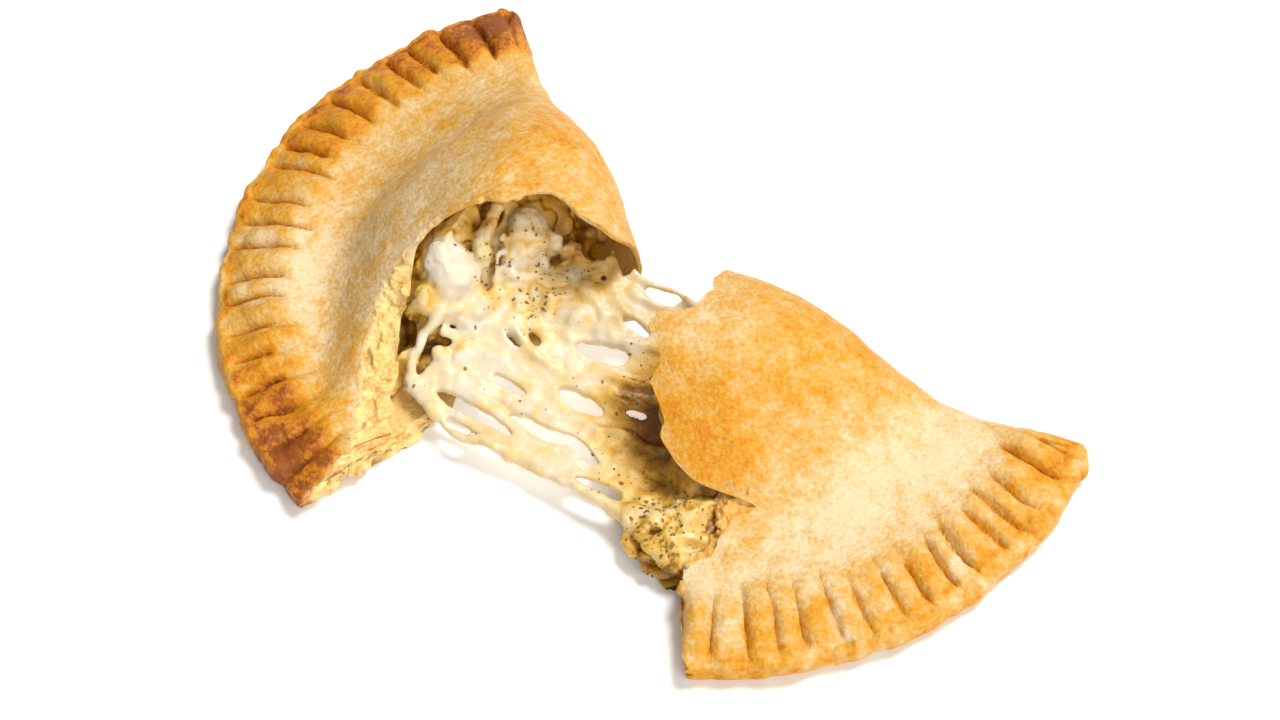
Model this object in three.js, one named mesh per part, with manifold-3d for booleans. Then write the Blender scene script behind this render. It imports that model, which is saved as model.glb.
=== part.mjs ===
// A half-moon cheese turnover (fatayer) torn in two. Two crust halves with a fork-crimped rim still
// hang together by the melted cheese that runs through both of them.
// Millimetres, +Z up. It rests on z = 0, with the origin under the middle of the whole piece.
import * as THREE from "three";
import { mergeVertices } from "three/addons/utils/BufferGeometryUtils.js";
import Module from "manifold-3d";

const { clamp, degToRad, lerp, smoothstep } = THREE.MathUtils;
const wasm = await Module();
wasm.setup();

// Driving dimensions of the dough
const DISC_RADIUS = 70.3; // the dough disc, folded once into a half moon
const BAND = 13; // width of the fork-pressed rim
const EDGE_HEIGHT = 4.2; // pressed dough at the lip
const APRON_HEIGHT = 6.4; // flat dough between the pressed rim and the dome
const CRUST = 2.8; // thickness of the top crust
const BASE = 2.2; // thickness of the bottom crust
const GROOVE_DEPTH = 2.1; // press of one fork tine
const GROOVE_WIDTH = 1.1; // half width of that press
const RIDGE_RISE = 0.9; // how far the dough swells between two presses
const GROOVE_JITTER = 0.38; // uneven spacing of the presses, as a share of their pitch
const SCALLOP = 0.5; // how far the lip swells outwards between two presses
const WAVE = 0.5; // unevenness of the baked top
const CORNER_ANGLE = 3.5; // the rounded corner starts this far round the disc, in degrees
const FOLD_REACH = 67.5; // the straight fold ends this far from the disc's centre
const CORNER_NOSE = 2.2; // how far the corner is rounded out past its last section
const FOLD_BULGE_FROM = 15; // the fold bows out over the filling up to here along it
const FOLD_BULGE_TO = 48; // and is straight again from here
const FOLD_ROUND = 0.7; // width of the rounded fold as a share of its height
const FOLD_WAIST = 1 / 3; // height of the fold's outermost line as a share of its height
const LIP_INSET = 0.6; // the lip turns down this far inside the rim
const BOTTOM_INSET = 1.8; // the flat underside starts this far inside the rim
const TRAVEL_STEP = 0.02; // small step to measure how fast a section moves along its half
const SHIFT_FADE = 2.5; // how fast the torn edge's shift dies away from the tear
const TO_MIDDLE = [1.05, -0.15, 0]; // from the tear, where places are measured, to the middle of the piece

// Driving dimensions of the cheese
const CLEARANCE = 0.35; // gap between crust and cheese
const CORE_GAP = 0.6; // the cheese inside a half stays this far from its crust
const WEB_THICKNESS = 1.8; // the stretched sheet
const WEB_LOW = 4.4; // height of the sheet at its front
const WEB_RISE = 5.5; // how much higher it hangs at the fold's side
const WEB_FRONT = -26; // the sheet is level in front of this line
const WEB_BACK = 4; // and highest behind this one
const LARGE_LUMP = 6.5; // curds larger than this have finer facets
const LUMP_ROUGHNESS = 0.14; // unevenness of a curd as a share of its size

// The two halves. Angles in degrees: the fold's corner points to cornerAngle, and the torn side lies
// span further round, anticlockwise for turn 1. A torn edge is a list of [distance along the tear
// from the disc's centre, how far the crust reaches past the straight tear].
const LEFT = {
  centre: [-6.6, 6.7],
  cornerAngle: 105,
  turn: 1,
  span: 114.6,
  ridges: 21,
  seed: 3,
  domeHeight: 28,
  domeFlat: 18,
  domeFoot: 53,
  foldBulge: 5.5,
  cavityRim: 27,
  cavityEnd: 0.78,
  topTear: [[-4, 4], [3, 0], [11, -11], [25, -16], [40, -21.5], [45, -18], [54, -5], [60, 0], [70, 2]],
  baseTear: [[0, 0], [40, -2], [49, 3], [58, 0], [70, 1]],
};
const RIGHT = {
  centre: [11.1, -3.0],
  cornerAngle: -22.4,
  turn: -1,
  span: 71,
  ridges: 15,
  seed: 11,
  domeHeight: 24,
  domeFlat: 12,
  domeFoot: 47,
  foldBulge: 7,
  cavityRim: 24,
  cavityEnd: 0.7,
  topTear: [[-4, 2], [3, 3], [10, 10], [18, 11.5], [28, 9], [35, 7.5], [41, -7.5], [53, 2], [60, 2], [70, 0]],
  baseTear: [[0, 0], [30, -2], [45, -4], [55, 1], [70, 0]],
};

// Points round one section of a half: under it from the rim to the fold, round the fold, over the
// dome, along the pressed rim and down its lip.
const BAND_PLACES = [0, 0.1, 0.22, 0.5, 0.78, 0.95];
const LIP_PLACES = [
  { inset: 0, rise: 0.55 },
  { inset: 0.7, rise: 0 },
];
const BOTTOM_STEPS = 4;
const FOLD_STEPS = 6;
const DOME_STEPS = 7;
const CAVITY_STEPS = 11;
const STATIONS = [
  ...evenSteps(BOTTOM_STEPS).map((share) => ({ zone: "bottom", share })),
  ...evenSteps(FOLD_STEPS).map((share) => ({ zone: "fold", share })),
  ...evenSteps(DOME_STEPS).map((share) => ({ zone: "dome", share })),
  ...BAND_PLACES.map((share) => ({ zone: "band", share })),
  ...LIP_PLACES.map((place, i) => ({ zone: "lip", share: (i + 1) / (LIP_PLACES.length + 1), ...place })),
];

function evenSteps(count) {
  return Array.from({ length: count }, (_, i) => i / count);
}

// A fixed uneven number between 0 and 1 for each whole number.
function uneven(k) {
  const value = Math.sin(k * 12.9898) * 43758.5453;
  return value - Math.floor(value);
}

// A smooth curve through [place, value] pairs: a cubic between each two, level past both ends.
function curveThrough(pairs, place) {
  const last = pairs.length - 1;
  const at = clamp(place, pairs[0][0], pairs[last][0]);
  const i = Math.max(0, pairs.findLastIndex(([start], k) => start <= at && k < last));
  const slope = (k) => {
    const [before, after] = [pairs[Math.max(k - 1, 0)], pairs[Math.min(k + 1, last)]];
    return (after[1] - before[1]) / (after[0] - before[0]);
  };
  const width = pairs[i + 1][0] - pairs[i][0];
  const u = (at - pairs[i][0]) / width;
  const bend = slope(i) * (1 - u) * (1 - u) * u - slope(i + 1) * u * u * (1 - u);
  return lerp(pairs[i][1], pairs[i + 1][1], smoothstep(u, 0, 1)) + width * bend;
}

// Where the fork pressed the rim, in degrees from the fold.
function grooveAngles(half) {
  const pitch = half.span / half.ridges;
  const angles = [];
  for (let k = 0; k < half.ridges; k++) {
    const angle = pitch * (k + 0.5 + GROOVE_JITTER * (uneven(k + half.seed) - 0.5));
    if (angle > CORNER_ANGLE + 1) angles.push(angle);
  }
  return angles;
}
for (const half of [LEFT, RIGHT]) half.grooves = grooveAngles(half);

// 1 in the middle of a fork groove, 0 on a ridge.
function pressed(half, angle) {
  const nearest = Math.min(...half.grooves.map((groove) => Math.abs(groove - angle)));
  return Math.exp(-((degToRad(nearest) * DISC_RADIUS / GROOVE_WIDTH) ** 2));
}

// Height of the crust's top over a plan point, measured from the disc's centre.
function topHeight(half, point) {
  const radius = point.length();
  const inset = DISC_RADIUS - radius;
  const dome = 1 - smoothstep(radius, half.domeFlat, half.domeFoot);
  const wave = WAVE * Math.sin(0.11 * point.x + half.seed) * Math.sin(0.13 * point.y + 1.1);
  if (inset >= BAND) return APRON_HEIGHT + dome * (half.domeHeight - APRON_HEIGHT + wave);
  const groove = pressed(half, THREE.MathUtils.radToDeg(Math.atan2(point.y, point.x)));
  const along = clamp(inset / BAND, 0, 1);
  const inBand = 1 - smoothstep(along, 0.8, 0.94);
  const swell = RIDGE_RISE * Math.sin(Math.PI * along) * (1 - groove);
  return lerp(EDGE_HEIGHT, APRON_HEIGHT, smoothstep(along, 0, 1)) + inBand * (swell - GROOVE_DEPTH * groove);
}

// One section of a half at share a of the way from the tear to the corner: a plan curve from the
// fold to the rim that meets the rim square, and the sizes of its rounded fold.
function sectionAt(half, a) {
  const foldX = a * FOLD_REACH;
  const bow = half.foldBulge * (1 - smoothstep(foldX, FOLD_BULGE_FROM, FOLD_BULGE_TO));
  const fold = new THREE.Vector2(foldX, -bow);
  const angle = lerp(half.span, CORNER_ANGLE, a);
  const outwards = new THREE.Vector2(Math.cos(degToRad(angle)), Math.sin(degToRad(angle)));
  const rim = outwards.clone().multiplyScalar(DISC_RADIUS + SCALLOP * (0.5 - pressed(half, angle)));
  const reach = rim.distanceTo(fold);
  const knee = rim.clone().addScaledVector(outwards, -reach / 2);
  const curve = new THREE.QuadraticBezierCurve(fold, knee, rim);
  const perShare = 2 * knee.distanceTo(fold); // plan distance per share of the curve, at the fold
  const foldTop = topHeight(half, curve.getPoint(8 / perShare));
  const width = Math.min(FOLD_ROUND * foldTop, 0.35 * reach);
  const bandFrom = Math.max(1 - BAND / reach, lerp(width / perShare, 1, 0.15));
  return { curve, reach, perShare, width, bandFrom };
}

// Distance from the fold's edge and height of a point on a rounded fold. Turn -1 is under it, 1 on top.
function foldRound(turn, width, low, waist, high) {
  const sine = Math.sin((turn * Math.PI) / 2);
  const away = 1 - Math.cos((turn * Math.PI) / 2);
  if (turn < 0) return { away: 0.5 * width * away, z: lerp(waist, low, -sine) };
  return { away: width * away, z: lerp(waist, high, sine) };
}

function raised(point, z) {
  return new THREE.Vector3(point.x, point.y, z);
}

// A point on the outside of a half's crust.
function outerPoint(half, a, station) {
  const { curve, reach, perShare, width, bandFrom } = sectionAt(half, a);
  const { zone, share } = station;
  if (zone === "bottom") {
    const place = lerp(1 - BOTTOM_INSET / reach, (0.5 * width) / perShare, share);
    return raised(curve.getPoint(place), 0);
  }
  if (zone === "fold") {
    const top = topHeight(half, curve.getPoint(width / perShare));
    const { away, z } = foldRound(2 * share - 1, width, 0, FOLD_WAIST * top, top);
    return raised(curve.getPoint(away / perShare), z);
  }
  if (zone === "lip") {
    const edge = topHeight(half, curve.getPoint(1 - LIP_INSET / reach));
    return raised(curve.getPoint(1 - station.inset / reach), station.rise * edge);
  }
  const [from, to] = zone === "dome" ? [width / perShare, bandFrom] : [bandFrom, 1 - LIP_INSET / reach];
  const place = curve.getPoint(lerp(from, to, share));
  return raised(place, topHeight(half, place));
}

// A point on the inside of a half's crust, or on the cheese in it when gap is more than 0.
function innerPoint(half, a, station, gap) {
  const { curve, reach, perShare, width } = sectionAt(half, a);
  const { zone, share } = station;
  const wall = CRUST + gap;
  const base = BASE + gap;
  const roundWidth = Math.max(width - wall / 2, 1);
  const nearFold = (wall + roundWidth) / perShare;
  const nearRim = Math.max(1 - (half.cavityRim + gap) / reach, nearFold + 0.2);
  const ceiling = (place) => Math.max(topHeight(half, place) - wall, base + CLEARANCE);
  if (zone === "bottom") {
    const place = lerp(nearRim, (wall + 0.5 * roundWidth) / perShare, share);
    return raised(curve.getPoint(place), base);
  }
  if (zone === "fold") {
    const top = ceiling(curve.getPoint(nearFold));
    const waist = Math.max(FOLD_WAIST * top, lerp(base, top, 0.3));
    const { away, z } = foldRound(2 * share - 1, roundWidth, base, waist, top);
    return raised(curve.getPoint((wall + away) / perShare), z);
  }
  if (zone === "dome") {
    const place = curve.getPoint(lerp(nearFold, nearRim, share));
    return raised(place, ceiling(place));
  }
  const end = curve.getPoint(nearRim);
  const downwards = zone === "band" ? 0.7 * share : lerp(0.7, 1, share);
  return raised(end, lerp(ceiling(end), base, downwards));
}

// How far past the straight tear a station starts, as a share of the section's travel.
function tearStart(half, station) {
  const flat = outerPoint(half, 0, station);
  const tear = degToRad(half.span);
  const along = flat.x * Math.cos(tear) + flat.y * Math.sin(tear);
  const topShare = { bottom: 0, fold: station.share, dome: 1, band: 1, lip: 1 - station.share }[station.zone];
  const past = lerp(curveThrough(half.baseTear, along), curveThrough(half.topTear, along), topShare);
  const travel = outerPoint(half, -TRAVEL_STEP, station).sub(flat).setZ(0).length() / TRAVEL_STEP;
  return -past / travel;
}

// One ring of points round a half, at share t from the tear to end.
function ring(half, t, end, pointAt) {
  return STATIONS.map((station) => {
    const a = t * end + tearStart(half, station) * (1 - t) ** SHIFT_FADE;
    return pointAt(half, a, station);
  });
}

function middle(points) {
  const sum = points.reduce((total, point) => total.add(point), new THREE.Vector3());
  return sum.divideScalar(points.length);
}

// Rings down a half's hollow, shrinking to a rounded end.
function hollowRings(half, gap) {
  const rings = [];
  for (let i = 0; i < CAVITY_STEPS; i++) {
    const t = i / CAVITY_STEPS;
    const full = ring(half, t, half.cavityEnd, (h, a, station) => innerPoint(h, a, station, gap));
    const centre = middle(full);
    const shrink = Math.sqrt(1 - t ** 6);
    rings.push(full.map((point) => point.lerp(centre, 1 - shrink)));
  }
  return rings;
}

// Shares of the way from the tear to the corner where the outside has a section: on each fork groove
// and on both shoulders of each ridge.
function columns(half) {
  const bounds = [half.span, ...half.grooves.toReversed(), CORNER_ANGLE];
  const angles = [half.span];
  for (let i = 1; i < bounds.length; i++)
    for (const share of [1 / 3, 2 / 3, 1]) angles.push(lerp(bounds[i - 1], bounds[i], share));
  return angles.map((angle) => (half.span - angle) / (half.span - CORNER_ANGLE));
}

// A closed surface over a list of rings with a tip at each end that isn't open.
function skinRings(rings, { startTip, endTip, flip }) {
  const count = STATIONS.length;
  const points = rings.flat();
  const index = [];
  const face = (p, q, r) => index.push(...(flip ? [p, r, q] : [p, q, r]));
  for (let i = 0; i + 1 < rings.length; i++)
    for (let j = 0; j < count; j++) {
      const next = (j + 1) % count;
      const [p, q] = [i * count + j, i * count + next];
      face(p, q, p + count);
      face(q, q + count, p + count);
    }
  const fan = (tip, first, reverse) => {
    points.push(tip);
    for (let j = 0; j < count; j++) {
      const [p, q] = [first + j, first + ((j + 1) % count)];
      face(points.length - 1, ...(reverse ? [q, p] : [p, q]));
    }
  };
  fan(startTip, 0, true);
  fan(endTip, (rings.length - 1) * count, false);
  const geometry = new THREE.BufferGeometry().setFromPoints(points);
  return geometry.setIndex(index);
}

// Turns a half's own points, fold along +X, into the part's frame.
function place(half, geometry) {
  geometry.scale(1, half.turn, 1);
  geometry.rotateZ(degToRad(half.cornerAngle));
  return geometry.translate(half.centre[0], half.centre[1], 0);
}

// One crust half: the hollow's rings run out to the tear, and the outside's run back to the corner.
function crustGeometry(half) {
  const hollow = hollowRings(half, 0);
  const outside = columns(half).map((t) => ring(half, t, 1, outerPoint));
  const corner = middle(outside.at(-1));
  const nose = new THREE.Vector2(corner.x, corner.y).setLength(CORNER_NOSE);
  const geometry = skinRings([...hollow.toReversed(), ...outside], {
    startTip: middle(hollow.at(-1)),
    endTip: corner.add(raised(nose, 0)),
    flip: half.turn > 0,
  });
  return place(half, geometry);
}

// The cheese inside one half.
function coreGeometry(half) {
  const rings = hollowRings(half, CORE_GAP);
  const geometry = skinRings(rings, {
    startTip: middle(rings[0]),
    endTip: middle(rings.at(-1)),
    flip: half.turn > 0,
  });
  return place(half, geometry);
}

// A point at a half's torn mouth: along the tear from the disc's centre, out past it, and up.
function mouthPoint(half, along, out, z) {
  const tear = degToRad(half.span);
  const x = along * Math.cos(tear) - out * Math.sin(tear);
  const y = half.turn * (along * Math.sin(tear) + out * Math.cos(tear));
  const turned = new THREE.Vector2(x, y).rotateAround(new THREE.Vector2(), degToRad(half.cornerAngle));
  return new THREE.Vector3(turned.x + half.centre[0], turned.y + half.centre[1], z);
}

// A curd of melted cheese: an uneven rounded lump with its length along the mouth.
function lumpGeometry(half, { along, out, z, size }) {
  const geometry = welded(new THREE.IcosahedronGeometry(1, Math.max(...size) > LARGE_LUMP ? 2 : 1));
  const position = geometry.getAttribute("position");
  const point = new THREE.Vector3();
  for (let i = 0; i < position.count; i++) {
    point.fromBufferAttribute(position, i);
    const bump = Math.sin(3.1 * point.x + along) * Math.sin(2.7 * point.y + z) + Math.sin(3.3 * point.z + out);
    point.multiplyScalar(1 + LUMP_ROUGHNESS * bump);
    position.setXYZ(i, point.x, point.y, point.z);
  }
  geometry.scale(...size);
  const centre = mouthPoint(half, along, out, z);
  const ahead = mouthPoint(half, along + 1, out, z).sub(centre);
  geometry.rotateZ(Math.atan2(ahead.y, ahead.x));
  return geometry.translate(centre.x, centre.y, centre.z);
}

// A pulled strand of cheese along a smooth curve.
const STRAND_SIDES = 6;
const STRAND_STEPS = 10;
function strandGeometry({ points, radius }) {
  const section = new THREE.Shape();
  for (let i = 0; i < STRAND_SIDES; i++) {
    const angle = (i / STRAND_SIDES) * 2 * Math.PI;
    const corner = [radius * Math.cos(angle), radius * Math.sin(angle)];
    if (i === 0) section.moveTo(...corner);
    else section.lineTo(...corner);
  }
  const extrudePath = new THREE.CatmullRomCurve3(points);
  return new THREE.ExtrudeGeometry(section, { extrudePath, steps: STRAND_STEPS, bevelEnabled: false });
}

// Height of the stretched sheet over a plan point.
function webHeight(y) {
  return WEB_LOW + WEB_RISE * smoothstep(y, WEB_FRONT, WEB_BACK);
}

// The stretched sheet between the two mouths, from the fold's side to its front edge.
const WEB_TO_LEFT = [[3, -5], [20, -7], [43, -4]];
const WEB_TO_RIGHT = [[2, 0], [20, 2], [42, 11]];
const WEB_STEPS_ACROSS = 8;
const WEB_STEPS_ALONG = 6;
function webGeometry() {
  const geometry = new THREE.BoxGeometry(1, 1, WEB_THICKNESS, WEB_STEPS_ACROSS, WEB_STEPS_ALONG, 1);
  const edgePoint = (half, edge, share) => {
    const along = lerp(edge[0][0], edge.at(-1)[0], share);
    return mouthPoint(half, along, curveThrough(edge, along), 0);
  };
  const position = geometry.getAttribute("position");
  for (let i = 0; i < position.count; i++) {
    const frontwards = 0.5 - position.getY(i);
    const from = edgePoint(LEFT, WEB_TO_LEFT, frontwards);
    const point = from.lerp(edgePoint(RIGHT, WEB_TO_RIGHT, frontwards), position.getX(i) + 0.5);
    position.setXYZ(i, point.x, point.y, position.getZ(i) + webHeight(point.y));
  }
  return geometry;
}

// The slits that opened in the sheet run across from mouth to mouth.
const SLIT_ANGLE = -33;
const SLIT_CUT = 20; // each slit is cut through to this height
const SLIT_DIVISIONS = 12;
const SLITS = [
  { x: -21.8, y: -7.9, length: 7, width: 4 },
  { x: -8.9, y: -9.9, length: 11.5, width: 5 },
  { x: -2.7, y: -6.4, length: 5.5, width: 2 },
  { x: -11.6, y: -19.9, length: 9, width: 3.2 },
  { x: -2.6, y: -21.1, length: 9, width: 3 },
  { x: -23.8, y: -16.4, length: 7, width: 1.6 },
  { x: -18.6, y: -25.2, length: 25, width: 3 },
  { x: -8.6, y: -37.6, length: 9, width: 3 },
  { x: -30.2, y: -22.4, length: 15, width: 3 },
  { x: 2.5, y: -0.4, length: 6, width: 3 },
];
function slitGeometry({ x, y, length, width }) {
  const turn = degToRad(SLIT_ANGLE);
  const ellipse = new THREE.EllipseCurve(x, y, length / 2, width / 2, 0, 2 * Math.PI, false, turn);
  const outline = new THREE.Shape(ellipse.getPoints(SLIT_DIVISIONS).slice(0, -1));
  return new THREE.ExtrudeGeometry(outline, { depth: SLIT_CUT, bevelEnabled: false });
}

// Curds and drops that show at the two mouths. Each size is along, across and up.
const LEFT_LUMPS = [
  { along: 24.5, out: -12.5, z: 12.5, size: [6.8, 5.5, 6.5] },
  { along: 27, out: -7, z: 7.5, size: [7, 5.5, 4.5] },
  { along: 12, out: -10, z: 16.5, size: [6, 5, 6] },
  { along: 9, out: -5.5, z: 13, size: [4.5, 4, 4] },
  { along: 16, out: -5, z: 8.5, size: [6, 5, 4.5] },
  { along: 5, out: -3, z: 8.5, size: [5, 4, 3.5] },
];
const RIGHT_LUMPS = [
  { along: 43, out: 5, z: 4.8, size: [6.5, 8, 3.4] },
  { along: 48, out: 3, z: 3.8, size: [4.5, 5, 2.6] },
  { along: 31, out: 4, z: 6.5, size: [9, 7, 4] },
  { along: 17, out: 4, z: 9, size: [9, 6, 4.5] },
];

// Strands pulled out over the sheet and along its edges.
function strands() {
  const left = (along, out, z) => mouthPoint(LEFT, along, out, z);
  const right = (along, out, z) => mouthPoint(RIGHT, along, out, z);
  const spot = (x, y, z) => new THREE.Vector3(x, y, z);
  return [
    { radius: 1.1, points: [left(40, -8, 6), spot(-36, -24, 4.6), spot(-25.4, -29.7, 4.4), spot(-15, -35.7, 4.4), right(44, 9, 4.6)] },
    { radius: 0.8, points: [left(1, -4, 11), spot(-1, 2.6, 10.6), spot(4, 0.6, 10.6), right(3, -1, 12)] },
    { radius: 0.7, points: [left(3, -4, 11), spot(0.5, -1.6, 9.6), spot(4.5, -3.6, 9.8), right(6, 0, 11)] },
    { radius: 1.2, points: [left(20, -8, 9), spot(-17, -13.5, 6.2), spot(-7, -15.5, 6.6), right(16, 4, 9)] },
    { radius: 1.2, points: [left(12, -7, 10), spot(-13.5, -5.5, 8), spot(-4, -9.5, 8.4), right(9, 3, 10)] },
    { radius: 1.3, points: [left(36, -8, 6), spot(-30, -18.6, 5), spot(-16, -22.8, 4.9), right(28, 5, 7)] },
    { radius: 1.2, points: [left(31, -6, 6), spot(-24, -12.8, 6), spot(-12, -17, 5.8), right(22, 5, 8)] },
  ];
}

// The geometry with only its positions left and the vertices that share a place joined.
function welded(geometry) {
  const bare = geometry.clone();
  bare.deleteAttribute("normal");
  bare.deleteAttribute("uv");
  return mergeVertices(bare, 1e-3);
}

function solid(geometry) {
  const closed = welded(geometry);
  const vertProperties = new Float32Array(closed.getAttribute("position").array);
  const triVerts = new Uint32Array(closed.index.array);
  return new wasm.Manifold(new wasm.Mesh({ numProp: 3, vertProperties, triVerts }));
}

// The same closed surface pushed outwards by a distance.
function grown(geometry, distance) {
  const pushed = welded(geometry);
  pushed.computeVertexNormals();
  const position = pushed.getAttribute("position");
  const normal = pushed.getAttribute("normal");
  for (let i = 0; i < position.count; i++) {
    const x = position.getX(i) + distance * normal.getX(i);
    const y = position.getY(i) + distance * normal.getY(i);
    const z = position.getZ(i) + distance * normal.getZ(i);
    position.setXYZ(i, x, y, z);
  }
  return pushed;
}

function geometryOf(manifold) {
  const { vertProperties, triVerts } = manifold.getMesh();
  const geometry = new THREE.BufferGeometry();
  geometry.setAttribute("position", new THREE.BufferAttribute(vertProperties, 3));
  geometry.setIndex(new THREE.BufferAttribute(triVerts, 1));
  geometry.computeVertexNormals();
  return geometry;
}

// All the cheese as one body, clear of both crusts.
function fillingGeometry(crusts) {
  const web = SLITS.reduce((sheet, slit) => sheet.subtract(solid(slitGeometry(slit))), solid(webGeometry()));
  const pieces = [
    coreGeometry(LEFT),
    coreGeometry(RIGHT),
    ...LEFT_LUMPS.map((lump) => lumpGeometry(LEFT, lump)),
    ...RIGHT_LUMPS.map((lump) => lumpGeometry(RIGHT, lump)),
    ...strands().map(strandGeometry),
  ];
  let cheese = pieces.map(solid).reduce((joined, piece) => joined.add(piece), web);
  for (const crust of crusts) cheese = cheese.subtract(solid(grown(crust, CLEARANCE))).subtract(solid(crust));
  const bodies = cheese.decompose().sort((a, b) => b.volume() - a.volume());
  return geometryOf(bodies[0]);
}

function mesh(name, geometry, color, roughness) {
  const material = new THREE.MeshStandardMaterial({ color, roughness, metalness: 0 });
  const made = new THREE.Mesh(geometry, material);
  made.name = name;
  return made;
}

const pieces = new THREE.Group();
pieces.position.set(...TO_MIDDLE);
const leftCrust = crustGeometry(LEFT);
const rightCrust = crustGeometry(RIGHT);
pieces.add(mesh("crust_left", leftCrust, 0xe3a850, 0.62));
pieces.add(mesh("crust_right", rightCrust, 0xe8b25f, 0.62));
pieces.add(mesh("cheese_filling", fillingGeometry([leftCrust, rightCrust]), 0xf2e2b6, 0.4));

const turnover = new THREE.Group();
turnover.add(pieces);

export default turnover;
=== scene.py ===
"""Looks of a half-moon cheese turnover (fatayer) torn in two, with melted cheese between the halves.

The crust halves repeat the solids' own section rules on a fine grid and add crimps, crumb and torn
flakes. The cheese is worked out as one field of distances and skinned. Lengths are in millimetres
until a mesh is made.
"""

import math
from dataclasses import dataclass

import bmesh
import bpy
import numpy as np
from bpy.props import FloatProperty, FloatVectorProperty, IntProperty, PointerProperty
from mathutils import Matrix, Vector


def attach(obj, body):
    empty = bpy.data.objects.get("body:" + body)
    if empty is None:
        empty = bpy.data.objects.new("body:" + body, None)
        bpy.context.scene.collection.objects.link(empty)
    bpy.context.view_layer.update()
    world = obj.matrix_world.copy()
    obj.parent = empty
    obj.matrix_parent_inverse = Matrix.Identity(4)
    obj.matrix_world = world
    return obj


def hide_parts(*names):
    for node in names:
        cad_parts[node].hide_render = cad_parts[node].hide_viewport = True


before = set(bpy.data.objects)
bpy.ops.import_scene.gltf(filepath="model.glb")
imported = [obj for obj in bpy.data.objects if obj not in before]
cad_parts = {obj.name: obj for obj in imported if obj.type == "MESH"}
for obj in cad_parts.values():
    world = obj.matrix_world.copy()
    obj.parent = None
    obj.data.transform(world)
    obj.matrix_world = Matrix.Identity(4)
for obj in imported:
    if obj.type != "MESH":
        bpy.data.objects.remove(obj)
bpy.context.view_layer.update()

bl_info = {
    "name": "Cheese Turnover",
    "version": (1, 0, 0),
    "blender": (4, 5, 0),
    "location": "3D View > Sidebar > Turnover",
    "description": "Makes a torn cheese turnover: two baked halves, melted cheese, herbs and a stage",
    "category": "Add Mesh",
}

MM = 0.001
WELD_DISTANCE = 1e-7
SHARP_ANGLE = math.radians(62)

# The dough, as the solids have it
DISC_RADIUS = 70.3
BAND = 13.0
EDGE_HEIGHT = 4.2
APRON_HEIGHT = 6.4
CRUST = 2.8
BASE = 2.2
GROOVE_WIDTH = 1.1
GROOVE_JITTER = 0.38
GROOVE_WANDER = 0.5
CRACK_WIDTH = 0.55
WAVE = 0.5
CORNER_ANGLE = 3.5
FOLD_REACH = 67.5
CORNER_NOSE = 2.2
FOLD_BULGE_FROM = 15.0
FOLD_BULGE_TO = 48.0
FOLD_ROUND = 0.7
FOLD_WAIST = 1 / 3
LIP_INSET = 0.6
BOTTOM_INSET = 1.8
TRAVEL_STEP = 0.02
SHIFT_FADE = 2.5
TO_MIDDLE = np.array([1.05, -0.15])

# The fork's grooves across the crimped band
GROOVE_WANDER_SIZE = 6.0
GROOVE_REACH = (0.74, 1.0)  # shares of the band
GROOVE_TEAR_REACH = 0.78  # how much of that is left by the tear
GROOVE_TEAR_ANGLES = (48, 26)  # degrees before the tear
GROOVE_END = 0.12
GROOVE_LIP = (0.4, 1.3)  # widths of the lip over which a groove starts
GROOVE_LIP_ADD = 0.06

# The stretched sheet of cheese, as the solid has it
WEB_LOW = 4.4
WEB_RISE = 5.5
WEB_FRONT = -26.0
WEB_BACK = 4.0
CORE_GAP = 0.6


# Numbers and noise

TINY = 1e-9
HASH_STEP = 12.9898
HASH_SCALE = 43758.5453
# Steps between neighbours' uneven numbers: where grooves end, their depth, the ridges' rise and bake
END_STEP, DEPTH_STEP, RISE_STEP, BAKE_STEP = 3, 5, 7, 11
LATTICE_SIZE = 32
LATTICE_SEED = 5
LATTICE = np.random.default_rng(LATTICE_SEED).uniform(-1, 1, (LATTICE_SIZE,) * 3)
SEED_SHIFT = np.array([11.7, 5.3, 8.9])


def smooth(x, low, high):
    """From 0 at low to 1 at high, level at both ends."""
    t = np.clip((x - low) / (high - low), 0, 1)
    return t * t * (3 - 2 * t)


def falling(x, low, high):
    return 1 - smooth(x, low, high)


def bell(x):
    """1 at 0, dying away on both sides."""
    return np.exp(-(x**2))


def lerp(a, b, t):
    return a + (b - a) * t


def uneven(k):
    """A fixed uneven number between 0 and 1 for each whole number."""
    value = np.sin(k * HASH_STEP) * HASH_SCALE
    return value - np.floor(value)


def noise(points, size, seed=0):
    """Smooth uneven numbers from about -1 to 1 over points, with lumps of the given size."""
    place = points / size + SEED_SHIFT * seed
    cell = np.floor(place).astype(int)
    part = place - cell
    part = part * part * (3 - 2 * part)
    total = 0.0
    for corner in np.ndindex(2, 2, 2):
        share = np.prod(np.where(corner, part, 1 - part), axis=-1)
        spot = (cell + corner) % LATTICE_SIZE
        total = total + share * LATTICE[spot[..., 0], spot[..., 1], spot[..., 2]]
    return total


def layered(points, layers):
    """Noise of several layers, each an amount, a size of its lumps and a seed."""
    return sum(amount * noise(points, size, seed) for amount, size, seed in layers)


def curve_through(pairs, place):
    """A smooth curve through (place, value) pairs: a cubic between each two, level past both ends."""
    spots, values = np.array(pairs, float).T
    at = np.clip(place, spots[0], spots[-1])
    i = np.clip(np.searchsorted(spots, at, side="right") - 1, 0, len(spots) - 2)
    before = np.maximum(np.arange(len(spots)) - 1, 0)
    after = np.minimum(np.arange(len(spots)) + 1, len(spots) - 1)
    slope = (values[after] - values[before]) / (spots[after] - spots[before])
    width = spots[i + 1] - spots[i]
    u = (at - spots[i]) / width
    bend = slope[i] * (1 - u) ** 2 * u - slope[i + 1] * u**2 * (1 - u)
    return lerp(values[i], values[i + 1], smooth(u, 0, 1)) + width * bend


def length(vectors):
    return np.linalg.norm(vectors, axis=-1)


def unit(vectors):
    return vectors / np.maximum(length(vectors), TINY)[..., None]


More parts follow.
